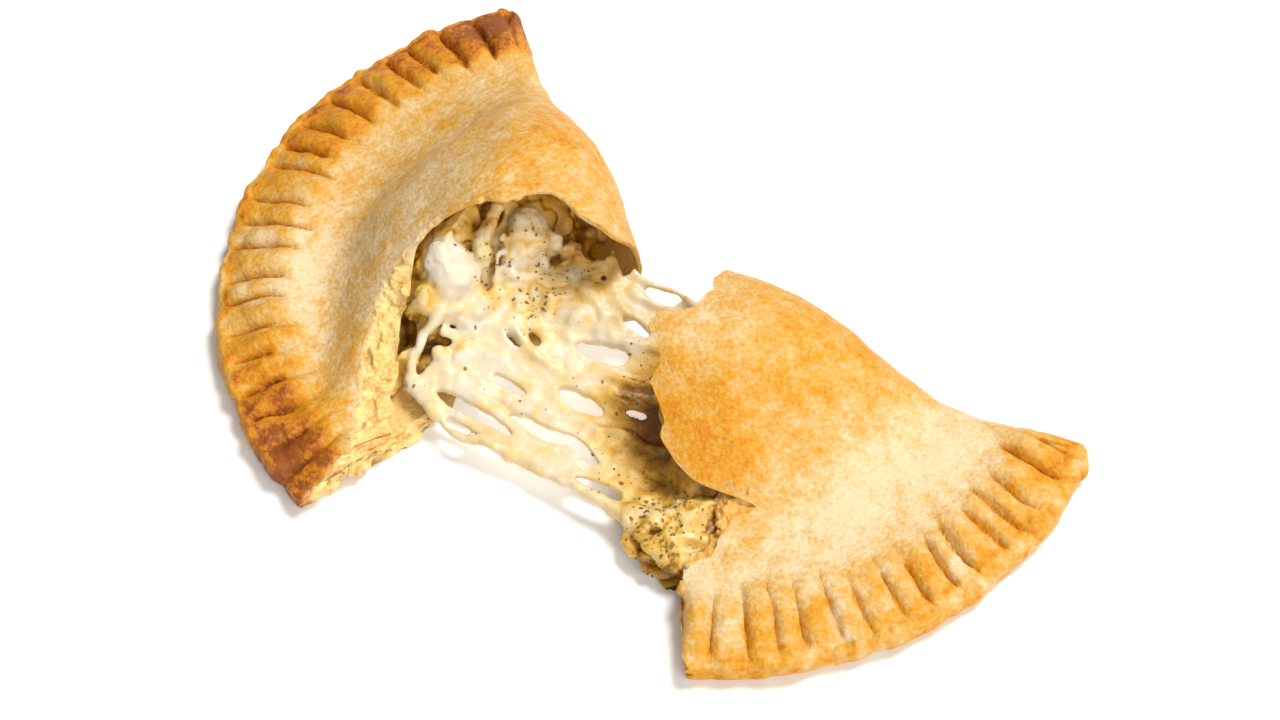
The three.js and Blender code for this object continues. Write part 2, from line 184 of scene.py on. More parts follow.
def raised(plan, z):
    z = np.broadcast_to(z, plan.shape[:-1])
    return np.concatenate([plan, z[..., None]], axis=-1)


# The two halves

@dataclass
class Half:
    """One torn half. Angles are in degrees, and a torn edge is a list of (distance along the tear
    from the disc's centre, how far the dough reaches past the straight tear)."""

    name: str
    node: str
    centre: np.ndarray
    corner_angle: float
    turn: int
    span: float
    ridges: int
    seed: int
    dome_height: float
    dome_flat: float
    dome_foot: float
    fold_bulge: float
    cavity_rim: float
    cavity_end: float
    top_tear: list
    base_tear: list
    inner_reach: list
    columns: int
    base_bake: float
    pale_apron: float
    browned_tear: float
    valley: list
    finger: float
    sides: tuple
    corner_flare: float
    scallop: float
    ridge_rise: float
    groove_depth: float
    pale_ends: float
    ridge_bake: float
    outer_bake: float
    lip_width: float
    lip_bake: float
    streaks: float
    patches: list
    crumb_share: float
    torn_bake: float
    thin_edge: list

    def __post_init__(self):
        self.band = BAND * self.finger
        k = np.arange(self.ridges)
        pitch = self.span / self.ridges
        angles = pitch * (k + 0.5 + GROOVE_JITTER * (uneven(k + self.seed) - 0.5))
        self.grooves = angles[angles > CORNER_ANGLE + 1]
        self.bounds = np.concatenate([[self.grooves[0] - pitch], self.grooves, [self.grooves[-1] + pitch]])

    def to_part(self, plan):
        """Plan points of the half's own frame, fold along +X, in the part's frame."""
        a = math.radians(self.corner_angle)
        x, y = plan[..., 0], plan[..., 1] * self.turn
        turned = np.stack([x * math.cos(a) - y * math.sin(a), x * math.sin(a) + y * math.cos(a)], axis=-1)
        return turned + self.centre

    def to_local(self, plan):
        a = math.radians(self.corner_angle)
        x, y = plan[..., 0] - self.centre[0], plan[..., 1] - self.centre[1]
        local_y = (y * math.cos(a) - x * math.sin(a)) * self.turn
        return np.stack([x * math.cos(a) + y * math.sin(a), local_y], axis=-1)

    def mouth(self, along, out, z):
        """A point at the torn mouth: along the tear, out past it, and up."""
        tear = math.radians(self.span)
        plan = np.array([
            along * math.cos(tear) - out * math.sin(tear),
            along * math.sin(tear) + out * math.cos(tear),
        ])
        return np.array([*self.to_part(plan), z])

    def mouth_axes(self):
        """Plan directions along the tear and out past it, in the part's frame."""
        start = self.mouth(0, 0, 0)
        return (self.mouth(1, 0, 0) - start)[:2], (self.mouth(0, 1, 0) - start)[:2]

    def mouth_place(self, plan):
        """How far along the tear and out past it plan points lie."""
        along, out = self.mouth_axes()
        offset = plan - self.centre
        return offset @ along, offset @ out

    def near_tear(self, angle, start, end):
        """From 0 at start to 1 at end, both in degrees before the tear."""
        return smooth(angle, self.span - start, self.span - end)

    def dome_share(self, plan):
        """1 on top of the dome, 0 past its foot."""
        return falling(length(plan), self.dome_flat, self.dome_foot)

    def along_tear(self, points):
        """How far along the tear points of the half's own frame lie."""
        tear = math.radians(self.span)
        return points[..., 0] * math.cos(tear) + points[..., 1] * math.sin(tear)

    def pressed(self, angle):
        """1 in the middle of a fork groove, 0 on a ridge."""
        nearest = np.min(np.abs(angle[..., None] - self.grooves), axis=-1)
        return bell(np.radians(nearest) * DISC_RADIUS / GROOVE_WIDTH)

    def crimp(self, plan):
        """Where plan points lie across their ridge, from -1 to 1, the numbers of the ridge and of the
        nearest groove, and the distance to that groove."""
        angle = angle_of(plan) + GROOVE_WANDER * noise(raised(plan, 0.0), GROOVE_WANDER_SIZE, self.seed)
        ridge = np.clip(np.searchsorted(self.bounds, angle) - 1, 0, len(self.bounds) - 2)
        share = (angle - self.bounds[ridge]) / (self.bounds[ridge + 1] - self.bounds[ridge])
        groove = ridge + (share > 0.5)
        away = np.radians(np.abs(angle - self.bounds[groove])) * DISC_RADIUS
        return np.clip(2 * share - 1, -1, 1), ridge, groove, away

    def groove_end(self, groove):
        """How far across the crimped band each groove reaches, less far by the tear."""
        by_tear = self.near_tear(self.bounds[groove], *GROOVE_TEAR_ANGLES)
        reach = lerp(*GROOVE_REACH, uneven(groove * END_STEP + self.seed))
        return reach * lerp(1.0, GROOVE_TEAR_REACH, by_tear)

    def in_groove(self, along, groove):
        """1 in a groove's run across the band, 0 past its inner end and on the lip."""
        end = self.groove_end(groove)
        first, last = np.array(GROOVE_LIP) * self.lip_width / self.band
        return falling(along, end - GROOVE_END, end) * smooth(along, first, last + GROOVE_LIP_ADD)


LEFT = Half(
    name="baked_crust_left",
    node="crust_left",
    centre=np.array([-6.6, 6.7]) + TO_MIDDLE,
    corner_angle=105,
    turn=1,
    span=114.6,
    ridges=21,
    seed=3,
    dome_height=28,
    dome_flat=18,
    dome_foot=53,
    fold_bulge=5.5,
    cavity_rim=21,
    cavity_end=0.78,
    top_tear=[
        (-4, 3), (0, 3), (2.5, 0.8), (6, -3.5), (8, -7.5), (11, -11), (16, -13), (21, -15.4),
        (26, -19.2), (30, -22.4), (35, -24), (40, -23), (45, -18.6), (54, -5), (60, 0), (70, 2),
    ],
    base_tear=[(0, 0), (40, -2), (49, 3), (58, 0), (70, 1)],
    inner_reach=[(0, -0.5), (20, 0.3), (30, 2.2), (38, 4.5), (46, 4), (54, 1.5), (70, 0)],
    columns=330,
    base_bake=0.32,
    pale_apron=0.08,
    browned_tear=0.02,
    valley=[(28, 38), (43, 40), (57, 42.6), (69, 44), (84, 46.5), (97, 51.8), (107, 57.6)],
    finger=1.22,
    sides=(3.2, 2.2),
    corner_flare=0.0,
    scallop=0.4,
    ridge_rise=1.1,
    groove_depth=1.4,
    pale_ends=6.0,
    ridge_bake=0.5,
    outer_bake=0.08,
    lip_width=1.5,
    lip_bake=0.6,
    streaks=1.0,
    # Spots baked more above 0 and less below: (-6, 50) and (-17, 55) are painted shade along the foot of the
    # dome's valley, (-24, 64) is a browned corner with painted shade added, and (17, 28) is painted light on
    # the dome's left flank
    patches=[
        (20, 3, 7, 0.03), (5, 1, 6, -0.06), (10, 18, 8, 0.03), (-6, 50, 9, 0.04),
        (-17, 55, 8, 0.16), (17, 28, 10, -0.2), (4, 66, 16, -0.16), (18, 62, 10, -0.3),
        (-24, 64, 6.5, 0.34), (-10, 62, 7, 0.14), (65, 5, 8, 0.3),
    ],
    crumb_share=1.0,
    torn_bake=0.0,
    thin_edge=[
        (-4, 0.7), (2, 0.75), (8, 0.75), (16, 0.7), (22, 0.6), (28, 0.6), (32, 0.3), (37, 0), (70, 0),
    ],
)
RIGHT = Half(
    name="baked_crust_right",
    node="crust_right",
    centre=np.array([11.1, -3.0]) + TO_MIDDLE,
    corner_angle=-22.4,
    turn=-1,
    span=71,
    ridges=15,
    seed=11,
    dome_height=24,
    dome_flat=12,
    dome_foot=47,
    fold_bulge=7,
    cavity_rim=24,
    cavity_end=0.7,
    top_tear=[
        (-4, -1), (1, 0.8), (6, 1.8), (11, 4), (14.5, 8), (18.5, 11.4), (23.5, 10.4), (28.3, 9), (32, 7.6),
        (35, 5.4), (37.2, 1.5), (38.4, -7), (39.4, -8.6), (41.8, -5.4), (48.8, -2.1), (52.5, 1.8), (60, 2),
        (70, 0),
    ],
    base_tear=[(0, 0), (30, -2), (45, -4), (55, 1), (70, 0)],
    inner_reach=[(0, -0.5), (30, -2.5), (36, -2), (39.5, 2), (44, 1), (50, 0.5), (70, 0)],
    columns=300,
    base_bake=0.28,
    # The paler apron round the right dome is partly pale dough and partly painted light where the apron
    # faces the lamp
    pale_apron=0.2,
    browned_tear=0.05,
    valley=[],
    finger=1.25,
    sides=(2.8, 2.0),
    corner_flare=2.2,
    scallop=0.12,
    ridge_rise=1.0,
    groove_depth=1.15,
    pale_ends=9.0,
    ridge_bake=0.22,
    outer_bake=0.02,
    lip_width=3.0,
    lip_bake=0.44,
    streaks=0.3,
    # (33, 30) and (40, 14) make the apron paler: partly pale dough, partly painted highlight
    patches=[
        (8, 29, 9, 0.26), (16, 31, 6, 0.12), (21, 46, 6, 0.16), (24, 8, 12, 0.16), (33, 30, 9, -0.12),
        (40, 14, 9, -0.2), (2, 16, 7, -0.12),
    ],
    crumb_share=0.4,
    torn_bake=0.3,
    thin_edge=[(-4, 0.6), (34, 0.65), (38, 0.2), (70, 0)],
)
HALVES = (LEFT, RIGHT)


# Heights and sections of a half

WAVE_RATES = (0.11, 0.13)
WAVE_START = 1.1
BAND_OVERRUN = 1.2  # how far past the crimped band its crimps are worked out, as a share
RIDGE_RISES = (0.7, 1.7)  # least and most of a half's ridge_rise
GROOVE_DEPTHS = (0.6, 1.15)  # least and most of a half's groove_depth
HOLLOW_FADE = (0.35, 0.9)  # shares of the band over which the hollows between ridges end
HOLLOW_SHARE = 0.45  # hollow between the ridges, where the rest of a groove is its crack
FOLD_LOOK = 8.0  # how far from the fold its height is taken
FOLD_WIDEST = 0.35
BAND_START = 0.15
SHORTEST_CEILING = 0.2
LOWEST_CEILING = 0.35
INNER_WAIST = 0.3
WALL_SPLIT = 0.7  # share of the hollow's end wall that stands for the band


def angle_of(plan):
    return np.degrees(np.arctan2(plan[..., 1], plan[..., 0]))


def plain_height(half, plan):
    """Height of the solid's top over plan points, without crimps."""
    radius = length(plan)
    x, y = plan[..., 0], plan[..., 1]
    wave = WAVE * np.sin(WAVE_RATES[0] * x + half.seed) * np.sin(WAVE_RATES[1] * y + WAVE_START)
    domed = APRON_HEIGHT + half.dome_share(plan) * (half.dome_height - APRON_HEIGHT + wave)
    along = np.clip((DISC_RADIUS - radius) / BAND, 0, 1)
    slope = lerp(EDGE_HEIGHT, APRON_HEIGHT, smooth(along, 0, 1))
    return np.where(radius <= DISC_RADIUS - BAND, domed, slope)


def crimp_height(half, plan):
    """How far the crimps lift or press the dough: plump uneven ridges between narrow cracked grooves."""
    along = np.clip((DISC_RADIUS - length(plan)) / half.band, 0, BAND_OVERRUN)
    across, ridge, groove, away = half.crimp(plan)
    rise = half.ridge_rise * lerp(*RIDGE_RISES, uneven(ridge * RISE_STEP + half.seed))
    depth = half.groove_depth * lerp(*GROOVE_DEPTHS, uneven(groove * DEPTH_STEP + half.seed))
    crown = 1 - np.abs(across) ** np.where(across > 0, *half.sides)
    hollow = (1 - crown) * falling(along, *HOLLOW_FADE)
    swell = rise * np.sin(np.pi * np.clip(along, 0, 1)) * crown
    sunk = lerp(bell(away / CRACK_WIDTH), hollow, HOLLOW_SHARE)
    return swell - depth * half.in_groove(along, groove) * sunk


def top_height(half, plan):
    return plain_height(half, plan) + crimp_height(half, plan)


class Section:
    """Sections of a half at shares a of the way from the tear to the corner: plan curves from the
    fold to the rim that meet the rim square, and the sizes of their rounded fold."""

    def __init__(self, half, a):
        fold_x = a * FOLD_REACH
        bow = half.fold_bulge * falling(fold_x, FOLD_BULGE_FROM, FOLD_BULGE_TO)
        bow = bow + half.corner_flare * smooth(fold_x, FOLD_BULGE_TO, FOLD_REACH)
        angle = lerp(half.span, CORNER_ANGLE, a)
        outwards = np.stack([np.cos(np.radians(angle)), np.sin(np.radians(angle))], axis=-1)
        swell = half.scallop * (0.5 - half.pressed(angle))
        self.fold = np.stack([fold_x, -bow], axis=-1)
        self.rim = outwards * (DISC_RADIUS + swell)[..., None]
        self.reach = length(self.rim - self.fold)
        self.knee = self.rim - outwards * (self.reach / 2)[..., None]
        self.per_share = 2 * length(self.knee - self.fold)
        fold_top = plain_height(half, self.at(FOLD_LOOK / self.per_share))
        self.width = np.minimum(FOLD_ROUND * fold_top, FOLD_WIDEST * self.reach)
        self.band_from = np.maximum(1 - BAND / self.reach, lerp(self.width / self.per_share, 1, BAND_START))

    def at(self, share):
        share = share[..., None]
        return (1 - share) ** 2 * self.fold + 2 * share * (1 - share) * self.knee + share**2 * self.rim


def fold_round(turn, width, low, waist, high):
    """Distance from the fold's edge and height of points on a rounded fold: turn -1 under it, 1 on top."""
    sine = np.sin(turn * np.pi / 2)
    away = 1 - np.cos(turn * np.pi / 2)
    under = turn < 0
    distance = width * away * np.where(under, 0.5, 1)
    return distance, np.where(under, lerp(waist, low, -sine), lerp(waist, high, sine))


def outer_points(half, a, zone, share):
    """Points on the outside of a half's crust, in its own frame."""
    cut = Section(half, a)
    share = np.broadcast_to(share, a.shape)
    if zone == "bottom":
        place = lerp(1 - BOTTOM_INSET / cut.reach, 0.5 * cut.width / cut.per_share, share)
        return raised(cut.at(place), 0.0)
    if zone == "fold":
        top = plain_height(half, cut.at(cut.width / cut.per_share))
        away, z = fold_round(2 * share - 1, cut.width, 0, FOLD_WAIST * top, top)
        return raised(cut.at(away / cut.per_share), z)
    if zone == "lip":
        edge = top_height(half, cut.at(1 - LIP_INSET / cut.reach))
        turn = np.pi * (0.5 - share)
        inset = np.where(turn > 0, LIP_INSET, BOTTOM_INSET) * (1 - np.cos(turn))
        return raised(cut.at(1 - inset / cut.reach), edge * (0.5 + 0.5 * np.sin(turn)))
    start, end = cut.width / cut.per_share, cut.band_from
    if zone == "band":
        start, end = cut.band_from, 1 - LIP_INSET / cut.reach
    place = cut.at(lerp(start, end, share))
    return raised(place, top_height(half, place))


def inner_points(half, a, zone, share, gap):
    """Points on the inside of a half's crust, or on the cheese in it when gap is more than 0."""
    cut = Section(half, a)
    share = np.broadcast_to(share, a.shape)
    wall, base = CRUST + gap, BASE + gap
    round_width = np.maximum(cut.width - wall / 2, 1)
    near_fold = (wall + round_width) / cut.per_share
    near_rim = np.maximum(1 - (half.cavity_rim + gap) / cut.reach, near_fold + SHORTEST_CEILING)

    def ceiling(plan):
        return np.maximum(plain_height(half, plan) - wall, base + LOWEST_CEILING)

    if zone == "bottom":
        place = lerp(near_rim, (wall + 0.5 * round_width) / cut.per_share, share)
        return raised(cut.at(place), base)
    if zone == "fold":
        top = ceiling(cut.at(near_fold))
        waist = np.maximum(FOLD_WAIST * top, lerp(base, top, INNER_WAIST))
        away, z = fold_round(2 * share - 1, round_width, base, waist, top)
        return raised(cut.at((wall + away) / cut.per_share), z)
    if zone == "dome":
        place = cut.at(lerp(near_fold, near_rim, share))
        return raised(place, ceiling(place))
    end = cut.at(near_rim)
    downwards = WALL_SPLIT * share if zone == "band" else lerp(WALL_SPLIT, 1, share)
    return raised(end, lerp(ceiling(end), base, downwards))


# How many points each zone of a section has, round the section from the rim's underside
ZONE_POINTS = {"bottom": 14, "fold": 30, "dome": 110, "band": 46, "lip": 12}
ZONES = [(zone, np.arange(count) / count) for zone, count in ZONE_POINTS.items()]

FOLD_CALM = 0.3  # how ragged the tear is at the fold, as a share
FOLD_CALM_ALONG = (-2, 9)
TEAR_RAGS = ((1.0, 5.0), (0.9, 2.4), (0.8, 1.1))  # amounts and sizes of the ragged edge
RAG_HEIGHT = 40  # how far the rags of the base lie from those of the top
RAGGED_FADE = 24  # how fast the ragged edge dies away from the tear
INNER_ROUGH = 1.8  # how much more ragged the torn edge's inside is


def tear_shift(half, zone, share, rough_seed, extra=None):
    """How far past the straight tear the points of a zone start, as a share of the section's travel,
    once smooth and once for the ragged edge."""
    flat = outer_points(half, np.zeros(len(share)), zone, share)
    along = half.along_tear(flat)
    top_share = {"bottom": 0 * share, "fold": share, "lip": 1 - share}.get(zone, np.ones(len(share)))
    past = lerp(curve_through(half.base_tear, along), curve_through(half.top_tear, along), top_share)
    if extra:
        past = past + top_share * curve_through(extra, along)
    line = np.stack([along, RAG_HEIGHT * top_share, 0 * along], axis=-1)
    rags = [(amount, size, rough_seed + k) for k, (amount, size) in enumerate(TEAR_RAGS)]
    ragged = layered(line, rags) * lerp(FOLD_CALM, 1.0, smooth(along, *FOLD_CALM_ALONG))
    ahead = outer_points(half, np.full(len(share), -TRAVEL_STEP), zone, share)
    travel = length((ahead - flat)[:, :2]) / TRAVEL_STEP
    return -past / travel, -ragged / travel


def rings(half, t, end, points_at, rough_seed, extra=None):
    """Rings of points round a half at shares t from the tear to end, rougher if they reach further."""
    blocks = []
    rough = INNER_ROUGH if extra else 1.0
    for zone, share in ZONES:
        shift, ragged = tear_shift(half, zone, share, rough_seed, extra)
        a = t[:, None] * end + shift * ((1 - t) ** SHIFT_FADE)[:, None]
        a = a + rough * ragged * ((1 - t) ** RAGGED_FADE)[:, None]
        blocks.append(points_at(half, a, zone, np.broadcast_to(share, a.shape)))
    return np.concatenate(blocks, axis=1)


# Meshes from arrays

def grid_normals(grid):
    """Unit normals of a grid of points whose second axis closes on itself."""
    down = np.gradient(grid, axis=0)
    across = np.roll(grid, -1, axis=1) - np.roll(grid, 1, axis=1)
    return unit(np.cross(across, down))


def grid_faces(rows, columns, flip):
    """Quads over a grid whose second axis closes on itself."""
    i, j = np.meshgrid(np.arange(rows - 1), np.arange(columns), indexing="ij")
    after = (j + 1) % columns
    corners = [i * columns + j, i * columns + after, (i + 1) * columns + after, (i + 1) * columns + j]
    quads = np.stack([corner.ravel() for corner in corners], axis=-1)
    return quads[:, ::-1] if flip else quads


def vertex_normals(points, quads):
    """Unit normals at the points of a quad mesh."""
    across = points[quads[:, 2]] - points[quads[:, 0]]
    other = points[quads[:, 3]] - points[quads[:, 1]]
    face = np.cross(across, other)
    total = np.zeros_like(points)
    for corner in range(4):
        np.add.at(total, quads[:, corner], face)
    return unit(total)


def weld(mesh):
    """Joins points that lie on each other, as where a grid's last ring closes to one point."""
    work = bmesh.new()
    work.from_mesh(mesh)
    bmesh.ops.remove_doubles(work, verts=work.verts, dist=WELD_DISTANCE)
    work.to_mesh(mesh)
    work.free()


def make_piece(name, points, faces, masks, material):
    """A smooth mesh object from points in millimetres and lists of faces, with one number per point
    for each mask."""
    mesh = bpy.data.meshes.new(name)
    corners = np.concatenate([block.ravel() for block in faces])
    sides = np.concatenate([np.full(len(block), block.shape[1]) for block in faces])
    mesh.vertices.add(len(points))
    mesh.vertices.foreach_set("co", (points * MM).astype(np.float32).ravel())
    mesh.loops.add(len(corners))
    mesh.loops.foreach_set("vertex_index", corners.astype(np.int32))
    mesh.polygons.add(len(sides))
    mesh.polygons.foreach_set("loop_start", (np.cumsum(sides) - sides).astype(np.int32))
    mesh.update(calc_edges=True)
    mesh.validate()
    for key, values in masks.items():
        layer = mesh.attributes.new(key, "FLOAT", "POINT")
        layer.data.foreach_set("value", np.asarray(values, np.float32))
    weld(mesh)
    mesh.shade_smooth()
    mesh.set_sharp_from_angle(angle=SHARP_ANGLE)
    mesh.materials.append(material)
    piece = bpy.data.objects.new(name, mesh)
    bpy.context.scene.collection.objects.link(piece)
    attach(piece, "root")
    return piece


# Crust

TEAR_ROWS = 22  # rows of points across the torn dough
TEAR_FINE = 4  # points along the torn dough for each point of the outside's edge
HOLLOW_ROWS = 16  # rows of points down a half's hollow
NOSE_ROWS = 6  # rows of points round a half's corner
TEAR_CROWDING = 1.25  # columns crowd towards the tear
THIN_FOLD = (0.15, 0.55)  # shares of the fold's round over which the thin edge starts
END_POWER = 6  # how suddenly a hollow closes at its end
HOLLOW_SEED = 30  # past the half's own seed


def column_shares(half):
    """Shares of the way from the tear to the corner where the outside has a section."""
    return np.linspace(0, 1, half.columns) ** TEAR_CROWDING


def thin_share(half, edge):
    """How far the hollow comes up to the outside at the torn edge, so that the crust ends thin."""
    on_top = []
    for zone, share in ZONES:
        full = np.ones(len(share))
        shares = {"bottom": 0 * full, "fold": smooth(share, *THIN_FOLD), "lip": 0 * full}
        on_top.append(shares.get(zone, full))
    return np.concatenate(on_top) * curve_through(half.thin_edge, half.along_tear(edge))


def outside_grid(half):
    """The outside of a half from the tear to its rounded corner, in its own frame."""
    grid = rings(half, column_shares(half), 1.0, outer_points, half.seed)
    last = grid[-1]
    centre = last.mean(axis=0)
    along_rim = last[:, :2].max(axis=0) - last[:, :2].min(axis=0)
    across_rim = np.array([along_rim[1], -along_rim[0]]) / length(along_rim)
    nose = CORNER_NOSE * np.append(lerp(across_rim, centre[:2] / length(centre[:2]), 0.5), 0)
    turns = np.linspace(0, np.pi / 2, NOSE_ROWS + 1)[1:]
    rounded = [lerp(centre, last, np.cos(turn)) + nose * np.sin(turn) for turn in turns]
    return np.concatenate([grid, np.array(rounded)])


VALLEY_DEPTH = 1.3
VALLEY_WIDTH = 5.0
VALLEY_START = (12, 26)  # degrees from the corner
VALLEY_END = (12, 2)  # degrees before the tear


def valley_relief(half, plan):
    """A soft step where the dome drops to its apron."""
    if not half.valley:
        return 0.0
    angle = angle_of(plan)
    offset = (length(plan) - curve_through(half.valley, angle)) / VALLEY_WIDTH
    fade = smooth(angle, *VALLEY_START) * (1 - half.near_tear(angle, *VALLEY_END))
    return -VALLEY_DEPTH * fade * offset * np.exp(0.5 - 0.5 * offset**2)


# Layers of noise, each an amount, a size and a seed, or a size and a seed
RELIEF_ALL = ((0.4, 10.0, 1), (0.22, 4.0, 2), (0.045, 0.8, 5), (0.05, 1.7, 6))
RELIEF_BAND = ((0.3, 2.6, 3), (0.14, 1.2, 4))
BEAD_NOISE = (2.6, 7)
BLISTER_NOISE = (2.2, 8)
BEAD_RISE = 0.62
BEAD_DEEPEST = -0.4
BEAD_LIFT = 0.1
BLISTER_RISE = 0.9
BLISTER_EDGE = (0.1, 0.6)
BLISTER_ANGLES = (45, 12)  # degrees before the tear
BAND_INNER = (BAND - 3, BAND + 2)  # insets over which the band's lumps end
RELIEF_HEIGHTS = (0.4, 1.6)  # heights over which the relief starts
RELIEF_ROWS = (NOSE_ROWS, 6 * NOSE_ROWS)  # rows from the corner's end over which it starts


def crust_relief(half, grid, relief):
    """Waves, lumps, lip beads and blisters of the baked outside, pushed out along its normals, and the
    valley round the dome, pressed straight down."""
    plan = grid[..., :2]
    inset = DISC_RADIUS - length(plan)
    in_band = falling(inset, *BAND_INNER)
    lip = half.lip_width / 2
    at_lip = bell((np.clip(inset, 0, None) - lip) / (0.5 + lip))
    beads = BEAD_RISE * np.clip(noise(grid, *BEAD_NOISE), BEAD_DEEPEST, 1) + BEAD_LIFT * half.lip_width
    blisters = smooth(noise(grid, *BLISTER_NOISE), *BLISTER_EDGE)
    blisters = half.near_tear(angle_of(plan), *BLISTER_ANGLES) * blisters
    bumps = layered(grid, RELIEF_ALL) + in_band * layered(grid, RELIEF_BAND) + at_lip * beads
    bumps = bumps + BLISTER_RISE * half.browned_tear * in_band * blisters
    from_end = np.arange(len(grid))[::-1, None]
    above = relief * smooth(grid[..., 2], *RELIEF_HEIGHTS) * smooth(from_end, *RELIEF_ROWS)
    step = above * valley_relief(half, plan)
    return grid - grid_normals(grid) * (above * bumps)[..., None] + step[..., None] * (0, 0, 1)


# How far parts of the outside are baked, past the half's own bake
BAKE_LAYERS = ((0.09, 14.0, 11), (0.08, 5.0, 12), (0.05, 2.0, 14))
DOME_BAKE = 0.06
APRON_MIDDLE = 51
APRON_WIDTH = 7
FOLD_BAKE = (0.06, 0.16)  # all along the fold, and more towards its end
FOLD_BAKE_REACH = (-5, 8)
FOLD_END = (40, 60)
BAND_NOISE = ((2.4, 3.0, 13),)
PALE_END = 0.2
RIDGE_UNEVEN = 0.22
RIDGE_LAYERS = ((0.16, 3.2, 16),)
OUTER_END = 6
EARLY_BAKE = 0.08
EARLY_ANGLES = (20, 60)
CROWN_BAKE = 0.16
CROWN_MIDDLE = 0.6
SEAM_BAKE = 0.2
SEAM_WIDTH = 0.8
SEAM_NOISE = (4.0, 18)
LIP_LAYERS = ((0.24, 1.8, 17),)
# Painted shade along each groove's crack, over some real browning there
CRACK_SHADE_AND_BAKE = 0.32
CRACK_SHADE_AND_BAKE_WIDTH = 0.42
BROWNED_ANGLES = (60, 8)  # degrees before the tear
CORNER_BAKE = 0.1
CORNER_BAKE_ANGLES = (4, 18)
CORNER_BAKE_RADII = (56, 64)
BREAD_PALE = 0.16
BREAD_PALE_REACH = (0.3, 3.0)
BREAD_START = (22, 31)
BREAD_END = (58, 64)
HALF_NOISE = (-0.5, 0.5)


def bread_share(half, points):
    """1 where the left half's crust bends over into thick crumb."""
    along = half.along_tear(points)
    return smooth(along, *BREAD_START) * falling(along, *BREAD_END) * (half is LEFT)


def crimp_bake(half, grid, inset, across, ridge):
    """How far the crimped band is baked: its ridges, the seam inside its lip, and the lip."""
    lip = half.lip_width
    bake = half.ridge_bake + RIDGE_UNEVEN * (uneven(ridge * BAKE_STEP + half.seed) - 0.5)
    bake = bake + half.outer_bake * falling(inset, lip, lip + OUTER_END)
    bake = bake + EARLY_BAKE * falling(angle_of(grid), *EARLY_ANGLES) + layered(grid, RIDGE_LAYERS)
    bake = bake + CROWN_BAKE * (CROWN_MIDDLE - across**2)
    seam = bell((inset - lip) / SEAM_WIDTH) * smooth(noise(grid, *SEAM_NOISE), *HALF_NOISE)
    lip_bake = half.lip_bake + layered(grid, LIP_LAYERS)
    return lerp(bake + SEAM_BAKE * seam, lip_bake, falling(inset, 0.5 * lip, lip))


def bake_of(half, grid):
    """How far the outside is baked, from 0 for pale dough to 1 for dark brown; it also holds painted shade
    along the grooves' cracks and by the left dome's valley, and painted light on the left dome's flank and
    the right half's apron.
    """
    plan = grid[..., :2]
    radius = length(plan)
    angle = angle_of(plan)
    inset = np.clip(DISC_RADIUS - radius, 0, None)
    across, ridge, groove, away = half.crimp(plan)
    inner_end = (half.band - half.pale_ends, half.band - PALE_END * half.pale_ends)
    in_band = falling(inset + layered(grid, BAND_NOISE), *inner_end)
    apron = bell((radius - APRON_MIDDLE) / APRON_WIDTH)
    fold = FOLD_BAKE[0] + FOLD_BAKE[1] * smooth(radius, *FOLD_END)
    fold = falling(plan[..., 1], *FOLD_BAKE_REACH) * fold
    # A paler ring round the dome: pale dough, and on the right half partly painted light
    bake = half.base_bake + DOME_BAKE * half.dome_share(plan) - half.pale_apron * apron + fold
    bake = lerp(bake, crimp_bake(half, grid, inset, across, ridge), in_band)
    # Spots listed for each half; on the left half some of them are painted shade and painted light
    for x, y, reach, amount in half.patches:
        bake = bake + amount * bell(length(plan - (x, y)) / reach)
    # Painted shade along the grooves' cracks, with some real browning
    bake = bake + CRACK_SHADE_AND_BAKE * bell(away / CRACK_SHADE_AND_BAKE_WIDTH) * half.in_groove(inset / half.band, groove)
    bake = bake + half.browned_tear * half.near_tear(angle, *BROWNED_ANGLES) * in_band
    bake = bake + CORNER_BAKE * falling(angle, *CORNER_BAKE_ANGLES) * smooth(radius, *CORNER_BAKE_RADII)
    from_tear = length(grid - grid[:1])
    bake = bake - BREAD_PALE * bread_share(half, grid) * falling(from_tear, *BREAD_PALE_REACH)
    return bake + layered(grid, BAKE_LAYERS)


def fine_ring(ring):
    """A closed ring with TEAR_FINE points for each of its own, all on its straight lines."""
    steps = np.arange(TEAR_FINE) / TEAR_FINE
    return lerp(ring[:, None], np.roll(ring, -1, axis=0)[:, None], steps[None, :, None]).reshape(-1, 3)


CRAG_WIDTHS = (1.4, 5.0)  # widths of torn dough from thin skin to full crumb
CRUMB_LUMPS = ((0.8, 3.0, 21), (0.65, 1.5, 22))
CRUMB_PORES = ((1.0, 1.3, 25), (0.6, 0.8, 23))
PORE_EDGE = (0.25, 0.7)
PORE_RISE = 0.9
FIBRE_NOISE = (1.0, 24)
FIBRE_RISE = 0.5
FIBRE_WIDTH = 0.8
FIBRE_RATE = 3.2
FRAY_NOISE = (4.0, 26)
BULGE_POWER = 0.6
THIN_BULGE = 0.25


